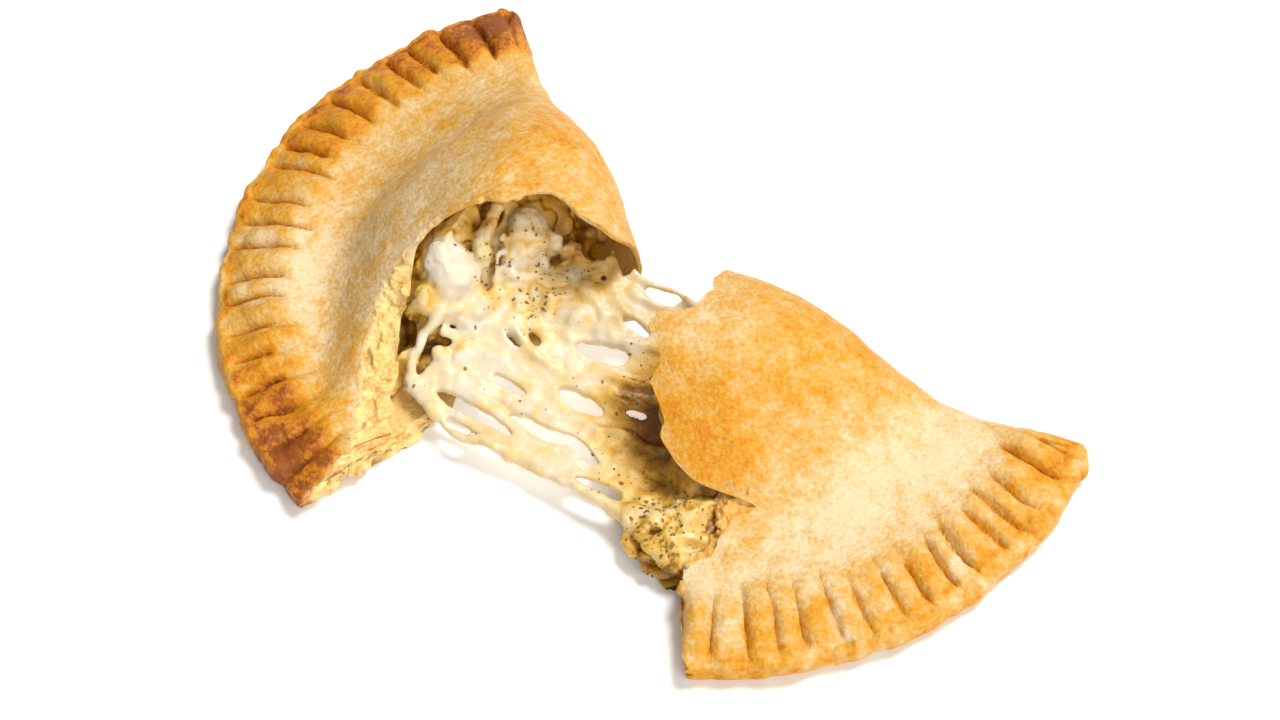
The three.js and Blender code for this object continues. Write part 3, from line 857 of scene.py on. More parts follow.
def torn_strip(outer, inner):
    """Rows of torn crumb between the outside's and the hollow's first rings, without those rings:
    lumps, pores, and fibres that run across the tear."""
    shares = np.linspace(0, 1, TEAR_ROWS + 2)[1:-1]
    first, last = fine_ring(outer), fine_ring(inner)
    rows = np.array([lerp(first, last, share) for share in shares])
    crag = smooth(length(first - last), *CRAG_WIDTHS)
    run = np.cumsum(length(np.roll(first, -1, axis=0) - first))
    across, down = np.meshgrid(run, shares)
    fibres = np.stack([across / FIBRE_WIDTH, FIBRE_RATE * down, 0 * down], axis=-1)
    frayed = smooth(noise(rows, *FRAY_NOISE), *HALF_NOISE)
    rise = layered(rows, CRUMB_LUMPS) + FIBRE_RISE * frayed * noise(fibres, *FIBRE_NOISE)
    for amount, size, seed in CRUMB_PORES:
        rise = rise + PORE_RISE * amount * smooth(noise(rows, size, seed), *PORE_EDGE)
    bulge = np.sin(np.pi * shares)[:, None] ** BULGE_POWER * lerp(THIN_BULGE, 1.0, crag)
    return rows + grid_normals(rows) * (bulge * rise)[..., None], crag


def seam_faces(coarse, fine, count, flip):
    """Triangles between a ring of count points from number coarse and a fine ring from number fine."""
    k = np.arange(count)
    start, end = coarse + k, coarse + (k + 1) % count
    along = [fine + (TEAR_FINE * k + j) % (TEAR_FINE * count) for j in range(TEAR_FINE + 1)]
    middle = TEAR_FINE // 2
    parts = [(start, end, along[middle])]
    for j in range(TEAR_FINE):
        parts.append((start if j < middle else end, along[j + 1], along[j]))
    faces = np.concatenate([np.stack(part, axis=-1) for part in parts])
    return faces[:, ::-1] if flip else faces


def hollow_grid(half, outside):
    """The hollow of a half from its mouth to a closing point, in its own frame, and its shares t."""
    t = np.linspace(0, 1, HOLLOW_ROWS, endpoint=False)

    def hollow_points(part, a, zone, share):
        return inner_points(part, a, zone, share, 0.0)

    hollow = rings(half, t, half.cavity_end, hollow_points, half.seed + HOLLOW_SEED, half.inner_reach)
    shrink = np.sqrt(1 - t**END_POWER)[:, None, None]
    hollow = lerp(hollow.mean(axis=1, keepdims=True), hollow, shrink)
    thin = thin_share(half, outside[0])
    match = np.searchsorted(column_shares(half), t * half.cavity_end)
    fade = falling(t, *MOUTH_DEPTH)
    hollow = lerp(hollow, outside[match], (fade[:, None] * thin)[..., None])
    end = np.broadcast_to(hollow[-1].mean(axis=0), hollow[-1:].shape)
    return np.concatenate([hollow, end]), np.append(t, 1.0)


SKIN_ROWS = 2  # rows of the torn dough that still have the crust's colour
SKIN_CRUMB = 0.25  # crumb that shows in those rows
THIN_CRUMB = 0.15  # crumb that shows where the torn dough is thin
SOAKED = 0.4  # oil in the torn dough's inner edge
ON_BAND = (DISC_RADIUS - BAND - 4, DISC_RADIUS - BAND + 3)  # radii over which the streaks end
MOUTH_DEPTH = (0, 0.2)  # shares of the hollow's depth over which its mouth ends


def crust_arrays(half, relief):
    """Points, faces and masks of one crust half in the part's frame."""
    plain = outside_grid(half)
    outside = crust_relief(half, plain, relief)
    hollow, t = hollow_grid(half, outside)
    strip, crag = torn_strip(outside[0], hollow[0])
    blocks = [hollow[::-1], strip[::-1], outside]
    starts = np.cumsum([0] + [block.shape[0] * block.shape[1] for block in blocks])
    flip = half.turn < 0
    faces = [start + grid_faces(*block.shape[:2], flip) for start, block in zip(starts, blocks)]
    count = outside.shape[1]
    faces.append(seam_faces(starts[1] - count, starts[1], count, flip))
    faces.append(seam_faces(starts[2], starts[2] - TEAR_FINE * count, count, not flip))
    local = np.concatenate([block.reshape(-1, 3) for block in blocks])
    points = raised(half.to_part(local[:, :2]), np.maximum(local[:, 2], 0))
    bake = bake_of(half, plain)
    edge_bake = np.repeat(bake[0], TEAR_FINE) + half.torn_bake * crag
    torn = half.crumb_share * np.broadcast_to(lerp(THIN_CRUMB, 1.0, crag), strip.shape[:2])
    torn[:SKIN_ROWS] *= SKIN_CRUMB
    soaked = np.broadcast_to(np.linspace(0, SOAKED, TEAR_ROWS)[:, None], strip.shape[:2])
    lining = np.broadcast_to(lerp(SOAKED, 1.0, smooth(t, *MOUTH_DEPTH))[:, None], hollow.shape[:2])
    on_band = smooth(length(plain[..., :2]), *ON_BAND)
    none = np.zeros(hollow.shape[:2])
    masks = {
        "bake": (none, np.broadcast_to(edge_bake, strip.shape[:2]), bake),
        "crumb": (none + 1, torn[::-1], 0 * bake),
        "stain": (lining[::-1], soaked[::-1], 0 * bake),
        "streak": (none, 0 * torn, half.streaks * (1 - on_band)),
    }
    joined = {key: np.concatenate([part.ravel() for part in parts]) for key, parts in masks.items()}
    return points, faces, joined


# Cheese

WARP = 0.75  # how far the cheese's lumps and strands are bent out of true
WARP_LAYERS = ((1.0, 4.2, 61), (0.5, 1.8, 64))  # seeds of the first axis
GRID_MARGIN = 1.0  # room round a shape that is joined or cut


def warped(points):
    """Points moved a little by smooth noise, so that what is drawn in them comes out uneven."""
    moves = []
    for k in range(3):
        moves.append(layered(points, [(amount, size, seed + k) for amount, size, seed in WARP_LAYERS]))
    return points + WARP * np.stack(moves, axis=-1)


class CheeseField:
    """Distances to the cheese on an even grid, joined and cut shape by shape."""

    FAR = 6.0

    def __init__(self, low, high, step):
        self.step = step
        self.axes = [np.arange(a, b, step) for a, b in zip(low, high)]
        self.distance = np.full([len(axis) for axis in self.axes], self.FAR, np.float32)
        grid = np.stack(np.meshgrid(*self.axes, indexing="ij"), axis=-1)
        self.places = warped(grid).astype(np.float32)

    def window(self, low, high, uneven_places):
        """The part of the grid within a box, and its coordinates."""
        slices = []
        for axis, a, b in zip(self.axes, low, high):
            slices.append(slice(*np.searchsorted(axis, [a, b])))
        part = tuple(slices)
        if uneven_places:
            return part, *np.moveaxis(self.places[part], -1, 0)
        x, y, z = (axis[some] for axis, some in zip(self.axes, slices))
        return part, x[:, None, None], y[None, :, None], z[None, None, :]

    def join(self, low, high, shape, blend, uneven_places=True, sign=1):
        """Adds a shape, a function of x, y and z, rounded into what is there, or with sign -1 takes it
        away with a rounded edge."""
        margin = blend + GRID_MARGIN + WARP
        part, x, y, z = self.window(np.array(low) - margin, np.array(high) + margin, uneven_places)
        here = sign * self.distance[part]
        new = shape(x, y, z)
        close = np.maximum(blend - np.abs(here - new), 0) / blend
        self.distance[part] = sign * (np.minimum(here, new) - close * close * blend / 4)


OVAL_LEAST = 1e-6


def oval_distance(offsets, radii):
    """About how far points lie from an oval's edge, less than 0 inside. Offsets are along its axes."""
    near = np.sqrt(sum((offset / radius) ** 2 for offset, radius in zip(offsets, radii)))
    steep = np.sqrt(sum((offset / radius**2) ** 2 for offset, radius in zip(offsets, radii)))
    return near * (near - 1) / np.maximum(steep, OVAL_LEAST)


def lump_shape(half, along, out, z, size):
    """A box round a rounded lump with its length along the mouth, and its distance function."""
    centre = half.mouth(along, out, z)
    ahead, outwards = half.mouth_axes()
    radii = np.array(size, float)
    reach = np.array([radii[:2].max(), radii[:2].max(), radii[2]])

    def shape(px, py, pz):
        dx, dy, dz = px - centre[0], py - centre[1], pz - centre[2]
        u = dx * ahead[0] + dy * ahead[1]
        v = dx * outwards[0] + dy * outwards[1]
        return oval_distance((u, v, dz), radii)

    return centre - reach, centre + reach, shape


STRAND_STEPS = 14


def strand_path(points):
    """Points along a smooth curve through a few points with a radius each."""
    points = np.array(points, float)
    places = np.arange(len(points))
    at = np.linspace(0, len(points) - 1, STRAND_STEPS + 1)
    columns = [curve_through(list(zip(places, column)), at) for column in points.T]
    return np.stack(columns, axis=-1)


def strand_shape(points):
    """A box round a pulled strand of cheese and its distance function."""
    path = strand_path(points)
    reach = path[:, 3].max()

    def shape(px, py, pz):
        nearest = np.float32(CheeseField.FAR)
        for start, end in zip(path[:-1], path[1:]):
            step = (end - start)[:3]
            dx, dy, dz = px - start[0], py - start[1], pz - start[2]
            share = np.clip((dx * step[0] + dy * step[1] + dz * step[2]) / (step @ step), 0, 1)
            away = (dx - share * step[0]) ** 2 + (dy - share * step[1]) ** 2 + (dz - share * step[2]) ** 2
            nearest = np.minimum(nearest, np.sqrt(away) - lerp(start[3], end[3], share))
        return nearest

    return path[:, :3].min(axis=0) - reach, path[:, :3].max(axis=0) + reach, shape


def spot(x, y, z, radius):
    """A place measured from the tear, with a strand's radius there."""
    return (x + TO_MIDDLE[0], y + TO_MIDDLE[1], z, radius)


def at_mouth(half, along, out, z, radius):
    return (*half.mouth(along, out, z), radius)


SLIT_ANGLE = -33.0
SLITS = [  # x, y, length and width of each hole in the sheet
    (-21.8, -7.9, 7, 4),
    (-8.9, -9.9, 11.5, 5),
    (-2.7, -6.4, 5.5, 2),
    (-11.6, -19.9, 9, 3.2),
    (-2.6, -21.1, 9, 2.8),
    (-23.8, -16.4, 7, 1.6),
    (-18.6, -25.2, 25, 2.4),
    (-8.6, -37.6, 9, 3),
    (-30.2, -22.4, 15, 2.4),
    (2.5, -0.4, 6, 3),
]
WEB_TO_LEFT = [(3, -5), (20, -7), (43, -4)]
WEB_TO_RIGHT = [(2, 0), (20, 0.5), (32, 1), (38, 4), (42, 11)]
WEB_EDGE_STEPS = 12


def along_pull(plan):
    """How far along and across the sheet's pull plan points lie."""
    turn = math.radians(SLIT_ANGLE)
    x, y = plan[..., 0], plan[..., 1]
    return x * math.cos(turn) + y * math.sin(turn), y * math.cos(turn) - x * math.sin(turn)


def web_outline():
    """Corners of the stretched sheet seen from above, anticlockwise from its front left."""
    def edge(half, pairs):
        along = np.linspace(pairs[-1][0], pairs[0][0], WEB_EDGE_STEPS)
        return np.array([half.mouth(s, curve_through(pairs, s), 0)[:2] for s in along])
    return np.concatenate([edge(RIGHT, WEB_TO_RIGHT), edge(LEFT, WEB_TO_LEFT)[::-1]])


def outline_distance(plan, outline):
    """Signed distance of plan points to a closed outline, less than 0 inside."""
    nearest = np.full(plan.shape[:-1], np.inf)
    inside = np.zeros(plan.shape[:-1], bool)
    for a, b in zip(outline, np.roll(outline, -1, axis=0)):
        step = b - a
        share = np.clip(((plan - a) @ step) / (step @ step), 0, 1)
        nearest = np.minimum(nearest, length(plan - a - share[..., None] * step))
        crosses = (a[1] > plan[..., 1]) != (b[1] > plan[..., 1])
        level = (plan[..., 1] - a[1]) / np.where(step[1] == 0, TINY, step[1])
        inside ^= crosses & (plan[..., 0] < a[0] + level * step[0])
    return np.where(inside, -nearest, nearest)


SLIT_WOBBLE = 0.7
SLIT_WOBBLE_SIZE = 5.0
SLIT_WOBBLE_SEEDS = (31, 32)


def slit_distance(plan):
    """Distance of plan points to the nearest hole in the sheet, less than 0 in a hole."""
    flat = raised(plan, 0.0)
    wobble = np.stack([noise(flat, SLIT_WOBBLE_SIZE, seed) for seed in SLIT_WOBBLE_SEEDS], axis=-1)
    plan = plan + SLIT_WOBBLE * wobble - TO_MIDDLE
    nearest = np.full(plan.shape[:-1], np.inf)
    for x, y, long, wide in SLITS:
        nearest = np.minimum(nearest, oval_distance(along_pull(plan - (x, y)), (long / 2, wide / 2)))
    return nearest


def web_height(y):
    return WEB_LOW + WEB_RISE * smooth(y, WEB_FRONT, WEB_BACK)


RIB_SIZE = (14, 1.9)  # along and across the pull
RIB_SEED = 33
RIB_THICKNESS = 0.5
WRINKLE_SIZE = (20, 4.5)
WRINKLE_SEED = 34
WRINKLE_HEIGHT = 0.7
HOLE_RIM_WIDTH = 1.1
WEB_THINNEST = 0.5
WEB_ROUND = 0.35


def web_shape(plan, thin, rim):
    """Distance function of the stretched sheet: thin, ribbed along the pull, and thicker round its holes."""
    along, across = along_pull(plan)

    def pulled_noise(size, seed):
        return noise(np.stack([along / size[0], across / size[1], 0 * along], axis=-1), 1.0, seed)

    hole = slit_distance(plan)
    edge = np.maximum(outline_distance(plan, web_outline()), -hole)
    thickness = thin + RIB_THICKNESS * pulled_noise(RIB_SIZE, RIB_SEED) + rim * bell(hole / HOLE_RIM_WIDTH)
    thickness = np.maximum(thickness, WEB_THINNEST)
    height = web_height(plan[..., 1]) + WRINKLE_HEIGHT * pulled_noise(WRINKLE_SIZE, WRINKLE_SEED)

    def shape(px, py, pz):
        level = np.abs(pz - height[..., None]) - thickness[..., None] / 2 + WEB_ROUND
        side = edge[..., None] + WEB_ROUND
        out = np.hypot(np.maximum(side, 0), np.maximum(level, 0))
        return np.minimum(np.maximum(side, level), 0) + out - WEB_ROUND

    return shape


# Curds and drops at the two mouths: along, out, z, (size along, across, up), rounding, oil in its colour
LEFT_LUMPS = [
    (25.3, -14.8, 16.5, (4.3, 3.5, 4.8), 1.0, 0.0),
    (25.5, -11.6, 14.2, (4.7, 3.7, 4.4), 1.2, 0.0),
    (24.5, -8.2, 10.0, (5.0, 3.6, 3.8), 1.2, 0.08),
    (28.2, -10.4, 11.0, (3.6, 3.0, 3.6), 1.0, 0.16),
    (31.4, -12.4, 13.4, (2.4, 2.2, 3.4), 0.8, 0.5),
    (21.4, -7.0, 8.9, (3.0, 2.6, 3.4), 0.8, 0.05),
    (23.0, -4.6, 5.8, (3.6, 2.6, 2.0), 1.0, 0.3),
    (18.8, -12.6, 15.4, (1.5, 1.3, 4.2), 0.5, 0.12),
    (10.8, -10.4, 14.0, (5.4, 3.4, 5.2), 0.6, 0.1),
    (9.4, -12.0, 16.4, (4.2, 3.2, 3.4), 0.6, 0.12),
    (12.2, -7.2, 9.7, (4.2, 2.6, 2.4), 0.6, 0.12),
    (9.4, -8.0, 11.4, (2.6, 1.4, 1.2), 0.4, 0.2),
    (6.2, -8.0, 13.0, (1.7, 1.5, 2.8), 0.3, 0.1),
    (3.6, -7.2, 8.8, (2.0, 1.8, 2.8), 0.5, 0.3),
    (16.8, -8.6, 11.4, (2.0, 1.8, 1.9), 0.5, 0.1),
    (17.4, -5.6, 7.2, (3.2, 2.8, 2.6), 0.8, 0.05),
    (14.0, 0.8, 7.6, (2.6, 2.4, 1.5), 1.0, 0.05),
    (6.0, -0.7, 8.8, (1.9, 1.6, 1.8), 0.6, 0.3),
    (5.2, 3.4, 8.9, (1.7, 1.5, 1.3), 0.6, 0.35),
    (8.7, 3.6, 8.3, (2.0, 1.4, 1.2), 0.6, 0.3),
    (4.7, 8.4, 9.0, (1.6, 1.6, 1.1), 0.6, 0.35),
    (0.8, 6.4, 9.6, (1.4, 1.7, 1.2), 0.5, 0.4),
    (0.6, 2.4, 9.4, (1.9, 1.8, 1.7), 0.6, 0.4),
    (39.5, -8.2, 7.6, (2.6, 1.2, 1.9), 0.6, 0.45),
]
LEFT_HOLLOWS = [
    (38.8, -13.5, 9.0, (4.8, 4.8, 4.0), 0.6),
    (44.0, -11.5, 6.4, (3.0, 4.0, 2.4), 0.5),
    (30.0, -7.4, 7.2, (2.9, 2.8, 1.5), 0.4),
    (34.2, -6.9, 6.6, (2.6, 2.6, 1.4), 0.4),
    (13.6, -16.0, 19.5, (2.2, 2.6, 2.0), 0.4),
    (8.5, -17.5, 21.4, (3.0, 2.8, 1.6), 0.4),
    (-0.2, -4.6, 12.4, (3.3, 4.2, 4.3), 0.5),
    (-2.0, -8.4, 11.0, (3.4, 4.0, 4.4), 0.5),
    (20.6, -9.8, 13.0, (1.3, 2.0, 2.4), 0.4),
    (9.0, -4.6, 7.6, (1.4, 1.6, 1.4), 0.4),
    (3.2, 1.4, 10.2, (0.9, 0.9, 0.9), 0.4),
    (7.2, 1.6, 9.6, (1.2, 0.8, 0.8), 0.4),
]
# By the right half's flap the lumps' high oil in their colour is partly painted shadow of the flap
RIGHT_LUMPS = [
    (44.0, 4.5, 4.4, (6.2, 7.0, 2.6), 1.0, 0.58),
    (48.5, 3.0, 3.6, (3.6, 4.4, 1.8), 0.6, 0.65),
    (39.5, -3.5, 4.2, (5.5, 5.5, 2.4), 0.8, 0.9),
    (30, 0, 5.6, (8, 6, 3.4), 2.0, 0.85),
    (20, 2, 8.6, (8, 6, 4.2), 2.0, 0.75),
    (41.4, 9.4, 5.8, (2.0, 3.8, 1.0), 1.0, 0.4),
    (42.6, 5.6, 6.7, (1.8, 3.6, 1.0), 1.0, 0.45),
    (41.0, 1.2, 6.6, (2.0, 3.4, 1.2), 1.0, 0.45),
    (46.2, 2.0, 5.9, (1.6, 2.4, 0.9), 0.8, 0.3),
    (45.2, 9.8, 3.2, (3.6, 3.4, 0.8), 0.5, 0.8),
    (48.2, 6.8, 2.3, (3.4, 3.6, 0.7), 0.5, 0.85),
    (50.8, 3.2, 1.6, (2.6, 3.4, 0.7), 0.3, 0.85),
]
RIGHT_HOLLOWS = [
    (47.0, 0.9, 6.4, (0.7, 1.7, 1.2), 0.7),
    (44.2, 3.2, 7.0, (1.5, 0.6, 1.0), 0.7),
    (44.8, 7.2, 6.0, (0.5, 1.9, 0.9), 0.7),
    (46.6, 9.0, 4.1, (4.4, 2.6, 0.5), 0.3),
    (49.6, 6.0, 2.9, (3.6, 2.6, 0.4), 0.3),
    (42.3, -3.4, 7.8, (2.2, 2.2, 2.4), 0.5),
]
FACE_SLOPE = 13 / 21  # the left filling leans back this much as it rises
FACE_START = -2.0  # where the left filling's face meets the base


CURD_BED = RIGHT_LUMPS[0]  # the lump that the right mouth's loose curds lie on
CURD_BED_RISE = 2.5


def curd_level(half, along, out):
    """Height of the cheese that loose curds lie on."""
    if half is RIGHT:
        middle, outwards, low, (long, wide, _), *_ = CURD_BED
        away = ((along - middle) / long) ** 2 + ((out - outwards) / wide) ** 2
        return low + CURD_BED_RISE * math.sqrt(max(0, 1 - away))
    return max(web_height(half.mouth(along, out, 0)[1]), BASE + (FACE_START - out) / FACE_SLOPE)


# Small loose curds: half, reach along and out, how many, smallest and largest, colour range
CURD_FIELDS = [
    (LEFT, (-2, 14), (-4, 9), 34, (0.7, 1.8), (0.05, 0.5)),
    (LEFT, (14, 36), (-9, -2), 30, (0.7, 1.6), (0.0, 0.45)),
    (LEFT, (2, 20), (-12, -5), 16, (0.7, 1.5), (0.1, 0.5)),
    (RIGHT, (37, 51), (-1, 10), 8, (0.7, 1.5), (0.45, 0.75)),
]

CURD_SHAPES = (0.6, 1.5)  # how uneven a curd's three sizes are
CURD_FLAT = (1, 1, 0.8)
CURD_LIFTS = (-0.3, 0.5)
CURD_BLEND = 0.35


def loose_curds(half):
    """Small uneven curds strewn over a half's mouth, as lumps."""
    rng = np.random.default_rng(half.seed)
    curds = []
    for owner, alongs, outs, count, sizes, tints in CURD_FIELDS:
        for _ in range(count if owner is half else 0):
            along, out = rng.uniform(*alongs), rng.uniform(*outs)
            size = tuple(rng.uniform(*sizes) * rng.uniform(*CURD_SHAPES, 3) * CURD_FLAT)
            z = curd_level(half, along, out) + rng.uniform(*CURD_LIFTS)
            curds.append((along, out, z, size, CURD_BLEND, rng.uniform(*tints)))
    return curds


MOUTHS = (
    (LEFT, LEFT_LUMPS + loose_curds(LEFT), LEFT_HOLLOWS),
    (RIGHT, RIGHT_LUMPS + loose_curds(RIGHT), RIGHT_HOLLOWS),
)


# Strands over the sheet and along its edges. Their places are x, y, z and a radius, but the first and
# last are along, out, z and a radius at the left and the right mouth.
PULLED_STRANDS = [
    [
        (40, -8, 6, 1.2), (-36, -24, 4.6, 0.8), (-25.4, -29.7, 4.4, 1.1), (-15, -35.7, 4.4, 0.9),
        (44, 9, 4.6, 1.3),
    ],
    [(1, -4, 11, 1.0), (-1, 2.6, 10.6, 0.5), (4, 0.6, 10.6, 0.5), (3, -1, 12, 0.9)],
    [(3, -4, 11, 1.0), (0.5, -1.6, 9.6, 0.6), (4.5, -3.6, 9.8, 0.6), (6, 0, 11, 1.0)],
    [(20, -8, 9, 2.0), (-17, -13.5, 6.2, 1.1), (-7, -15.5, 6.2, 0.9), (16, 4, 6.4, 1.0)],
    [(12, -7, 10, 2.0), (-13.5, -5.5, 8, 1.2), (-4, -9.5, 7.6, 0.9), (9, 3, 7.8, 1.0)],
    [(36, -8, 6, 1.4), (-30, -18.6, 5, 1.1), (-16, -22.8, 4.7, 0.9), (28, 5, 5.2, 1.0)],
    [(31, -6, 6, 1.8), (-24, -12.8, 6, 1.1), (-12, -17, 5.4, 0.9), (22, 5, 5.6, 1.0)],
]
# Strands that hang down from the curds: along, out, z and a radius at the left mouth
HANGING_STRANDS = [
    [(31.0, -9.0, 12.8, 1.5), (35.0, -8.2, 11.4, 1.0), (38.4, -6.4, 8.8, 0.9), (41, -5.0, 6.4, 1.1)],
    [(31.5, -7.6, 9.6, 0.9), (29.4, -5.4, 7.4, 0.9), (27.0, -4.0, 5.8, 1.0)],
    [(12.8, -15.2, 21.4, 1.2), (17.0, -14.2, 19.0, 1.5), (19.6, -12.4, 16.6, 1.5), (21.0, -9.6, 12.6, 1.2)],
    [(16.7, -10.9, 16.0, 0.6), (19.4, -7.7, 11.0, 0.6), (21.7, -4.2, 5.9, 0.8)],
    [(18.4, -7.4, 10.4, 0.9), (15.0, -5.6, 8.3, 0.8), (14.4, -2.6, 7.4, 0.8), (15.2, 1.6, 7.4, 0.9)],
    [(5.0, -2.0, 9.6, 0.8), (6.4, 2.0, 9.6, 0.7), (8.4, 8.0, 9.2, 0.7)],
    [(2.0, -1.4, 10.0, 0.7), (3.4, 4.4, 10.0, 0.6), (4.6, 10.4, 9.8, 0.6)],
]


def strands():
    """All strands as places and radii in the part's frame."""
    paths = []
    for first, *middle, last in PULLED_STRANDS:
        paths.append([at_mouth(LEFT, *first), *(spot(*place) for place in middle), at_mouth(RIGHT, *last)])
    return paths + [[at_mouth(LEFT, *place) for place in path] for path in HANGING_STRANDS]


CORE_DEPTH = 13.0  # the fine cheese reaches this far back behind a mouth
CORE_BACK = 8.0
CORE_LAYERS = ((0.8, 3.0, 41),)
CORE_FACE = FACE_START - 3.5
CRUST_OVER = 1.2  # how far past its edge the top crust still holds the cheese down
CRUST_GAP = 0.25
OPEN_LIMIT = 99.0
CHEESE_FLOOR = 0.4


def ceiling_height(half, plan, gap):
    """Height of the hollow's ceiling over plan points, rounded down at the fold, and how far they lie
    inside the fold."""
    local = half.to_local(plan)
    bow = half.fold_bulge * falling(local[..., 0], FOLD_BULGE_FROM, FOLD_BULGE_TO)
    from_fold = local[..., 1] + bow - CRUST - gap
    top = plain_height(half, local) - CRUST - gap
    width = np.maximum(FOLD_ROUND * top, 1)
    rounding = np.sqrt(np.clip(1 - (1 - np.clip(from_fold / width, 0, 1)) ** 2, 0, 1))
    return np.where(from_fold > 0, lerp(BASE, top, rounding), -CheeseField.FAR), from_fold


def core_shape(half, plan, gap):
    """Distance function of the filling just inside a half's mouth."""
    ceiling, from_fold = ceiling_height(half, plan, gap)
    local = half.to_local(plan)
    along, out = half.mouth_place(plan)
    rim = length(local) - (DISC_RADIUS - half.cavity_rim - gap)
    ragged = layered(raised(plan, 0.0), CORE_LAYERS)
    back = -CORE_DEPTH - out + curve_through(half.base_tear, along)
    side = np.maximum(np.maximum(rim, -from_fold), back - CORE_BACK)

    def shape(px, py, pz):
        level = np.maximum(pz - ceiling[..., None], BASE + gap - pz)
        face = out[..., None] - CORE_FACE + ragged[..., None]
        if half is LEFT:
            face = (face + FACE_SLOPE * (pz - BASE)) / math.hypot(1, FACE_SLOPE)
        return np.maximum(np.maximum(level, side[..., None]), face)

    return shape


def keep_under_crust(cheese, plan):
    """Keeps the cheese below the top crust wherever crust lies over it, and above the bottom crust."""
    for half in HALVES:
        along, out = half.mouth_place(plan)
        covered = out < curve_through(half.top_tear, along) + CRUST_OVER
        local = half.to_local(plan)
        inside = (length(local) < DISC_RADIUS) & covered & (local[..., 1] > -half.fold_bulge)
        ceiling, _ = ceiling_height(half, plan, CRUST_GAP)
        limit = np.where(inside, ceiling, OPEN_LIMIT)
        above = cheese.axes[2][None, None, :] - limit[..., None]
        cheese.distance = np.maximum(cheese.distance, above.astype(np.float32))
    floor = CHEESE_FLOOR - cheese.axes[2]
    cheese.distance = np.maximum(cheese.distance, floor[None, None, :].astype(np.float32))


CHEESE_LOW = (-60.0, -56.0, 0.0)
CHEESE_HIGH = (27.0, 28.0, 26.0)
CORE_BLEND = 0.5
WEB_BLEND = 1.6
STRAND_BLEND = 1.0


def cheese_field(step, thin, rim):
    """All the cheese that shows at the mouths and between them."""
    cheese = CheeseField(CHEESE_LOW, CHEESE_HIGH, step)
    plan = np.stack(np.meshgrid(cheese.axes[0], cheese.axes[1], indexing="ij"), axis=-1)
    whole = (CHEESE_LOW, CHEESE_HIGH)
    for half in HALVES:
        cheese.join(*whole, core_shape(half, plan, CORE_GAP), CORE_BLEND, uneven_places=False)
    for half, lumps, _ in MOUTHS:
        for along, out, z, size, blend, _ in lumps:
            cheese.join(*lump_shape(half, along, out, z, size), blend)
    cheese.join(*whole, web_shape(plan, thin, rim), WEB_BLEND, uneven_places=False)
    for path in strands():
        cheese.join(*strand_shape(path), STRAND_BLEND)
    for half, _, hollows in MOUTHS:
        for along, out, z, size, blend in hollows:
            cheese.join(*lump_shape(half, along, out, z, size), blend, sign=-1)
    keep_under_crust(cheese, plan)
    return cheese


def skin(cheese):
    """Points and quads of the surface where the distance is 0: one point per cell that it crosses."""
    distance = cheese.distance
    inside = distance < 0
    cells_shape = np.array(distance.shape) - 1
    corners = list(np.ndindex(2, 2, 2))
    count = np.zeros(cells_shape, np.uint8)
    for i, j, k in corners:
        count += inside[i:i + cells_shape[0], j:j + cells_shape[1], k:k + cells_shape[2]]
    active = (count > 0) & (count < 8)
    number = np.full(cells_shape, -1)
    number[active] = np.arange(active.sum())
    cells = np.argwhere(active)
    total, crossings = np.zeros((len(cells), 3)), np.zeros(len(cells))
    for a in corners:
        for axis in range(3):
            if a[axis]:
                continue
            b = tuple(1 if i == axis else a[i] for i in range(3))
            near, far = (distance[tuple((cells + corner).T)] for corner in (a, b))
            crosses = (near < 0) != (far < 0)
            share = near / np.where(near == far, 1, near - far)
            point = np.array(a) + share[:, None] * (np.array(b) - np.array(a))
            total += np.where(crosses[:, None], point, 0)
            crossings += crosses
    origin = np.array([axis[0] for axis in cheese.axes])
    points = origin + cheese.step * (cells + total / crossings[:, None])
    return points, np.concatenate([edge_quads(inside, number, axis) for axis in range(3)])


def edge_quads(inside, number, axis):
    """Quads round the grid's edges along one axis that the surface crosses."""
    lower = [slice(1, -1)] * 3
    upper = [slice(1, -1)] * 3
    lower[axis], upper[axis] = slice(0, -1), slice(1, None)
    start, end = inside[tuple(lower)], inside[tuple(upper)]
    spots = np.argwhere(start != end)
    leaving = start[start != end]
    spots = spots + np.array([0 if i == axis else 1 for i in range(3)])
    u, v = [np.eye(3, dtype=int)[(axis + i) % 3] for i in (1, 2)]
    around = [spots - u - v, spots - v, spots, spots - u]
    quads = np.stack([number[tuple(cell.T)] for cell in around], axis=-1)
    return np.where(leaving[:, None], quads, quads[:, ::-1])


def relaxed(points, quads, rounds):
    """Points moved towards the middle of their neighbours, a little each round."""
    for _ in range(rounds):
        points = lerp(points, neighbour_mean(points, quads), 0.5)
    return points


def neighbour_mean(values, quads):
    total = np.zeros_like(values)
    count = np.zeros(len(values))
    for corner in range(4):
        for other in (1, 3):
            np.add.at(total, quads[:, corner], values[quads[:, (corner + other) % 4]])
            np.add.at(count, quads[:, corner], 1)
    share = np.maximum(count, 1)
    return total / (share[:, None] if values.ndim > 1 else share)


CREASE_ROUNDS = 9
CREASE_DEPTH = 0.3
CREASE_BLUR = 3


def crevices(points, normals, quads):
    """From 0 on open or round cheese to 1 in its creases."""
    dent = np.sum((relaxed(points, quads, CREASE_ROUNDS) - points) * normals, axis=1)
    crease = np.clip(dent / CREASE_DEPTH, 0, 1)
    for _ in range(CREASE_BLUR):
        crease = neighbour_mean(crease, quads)
    return crease


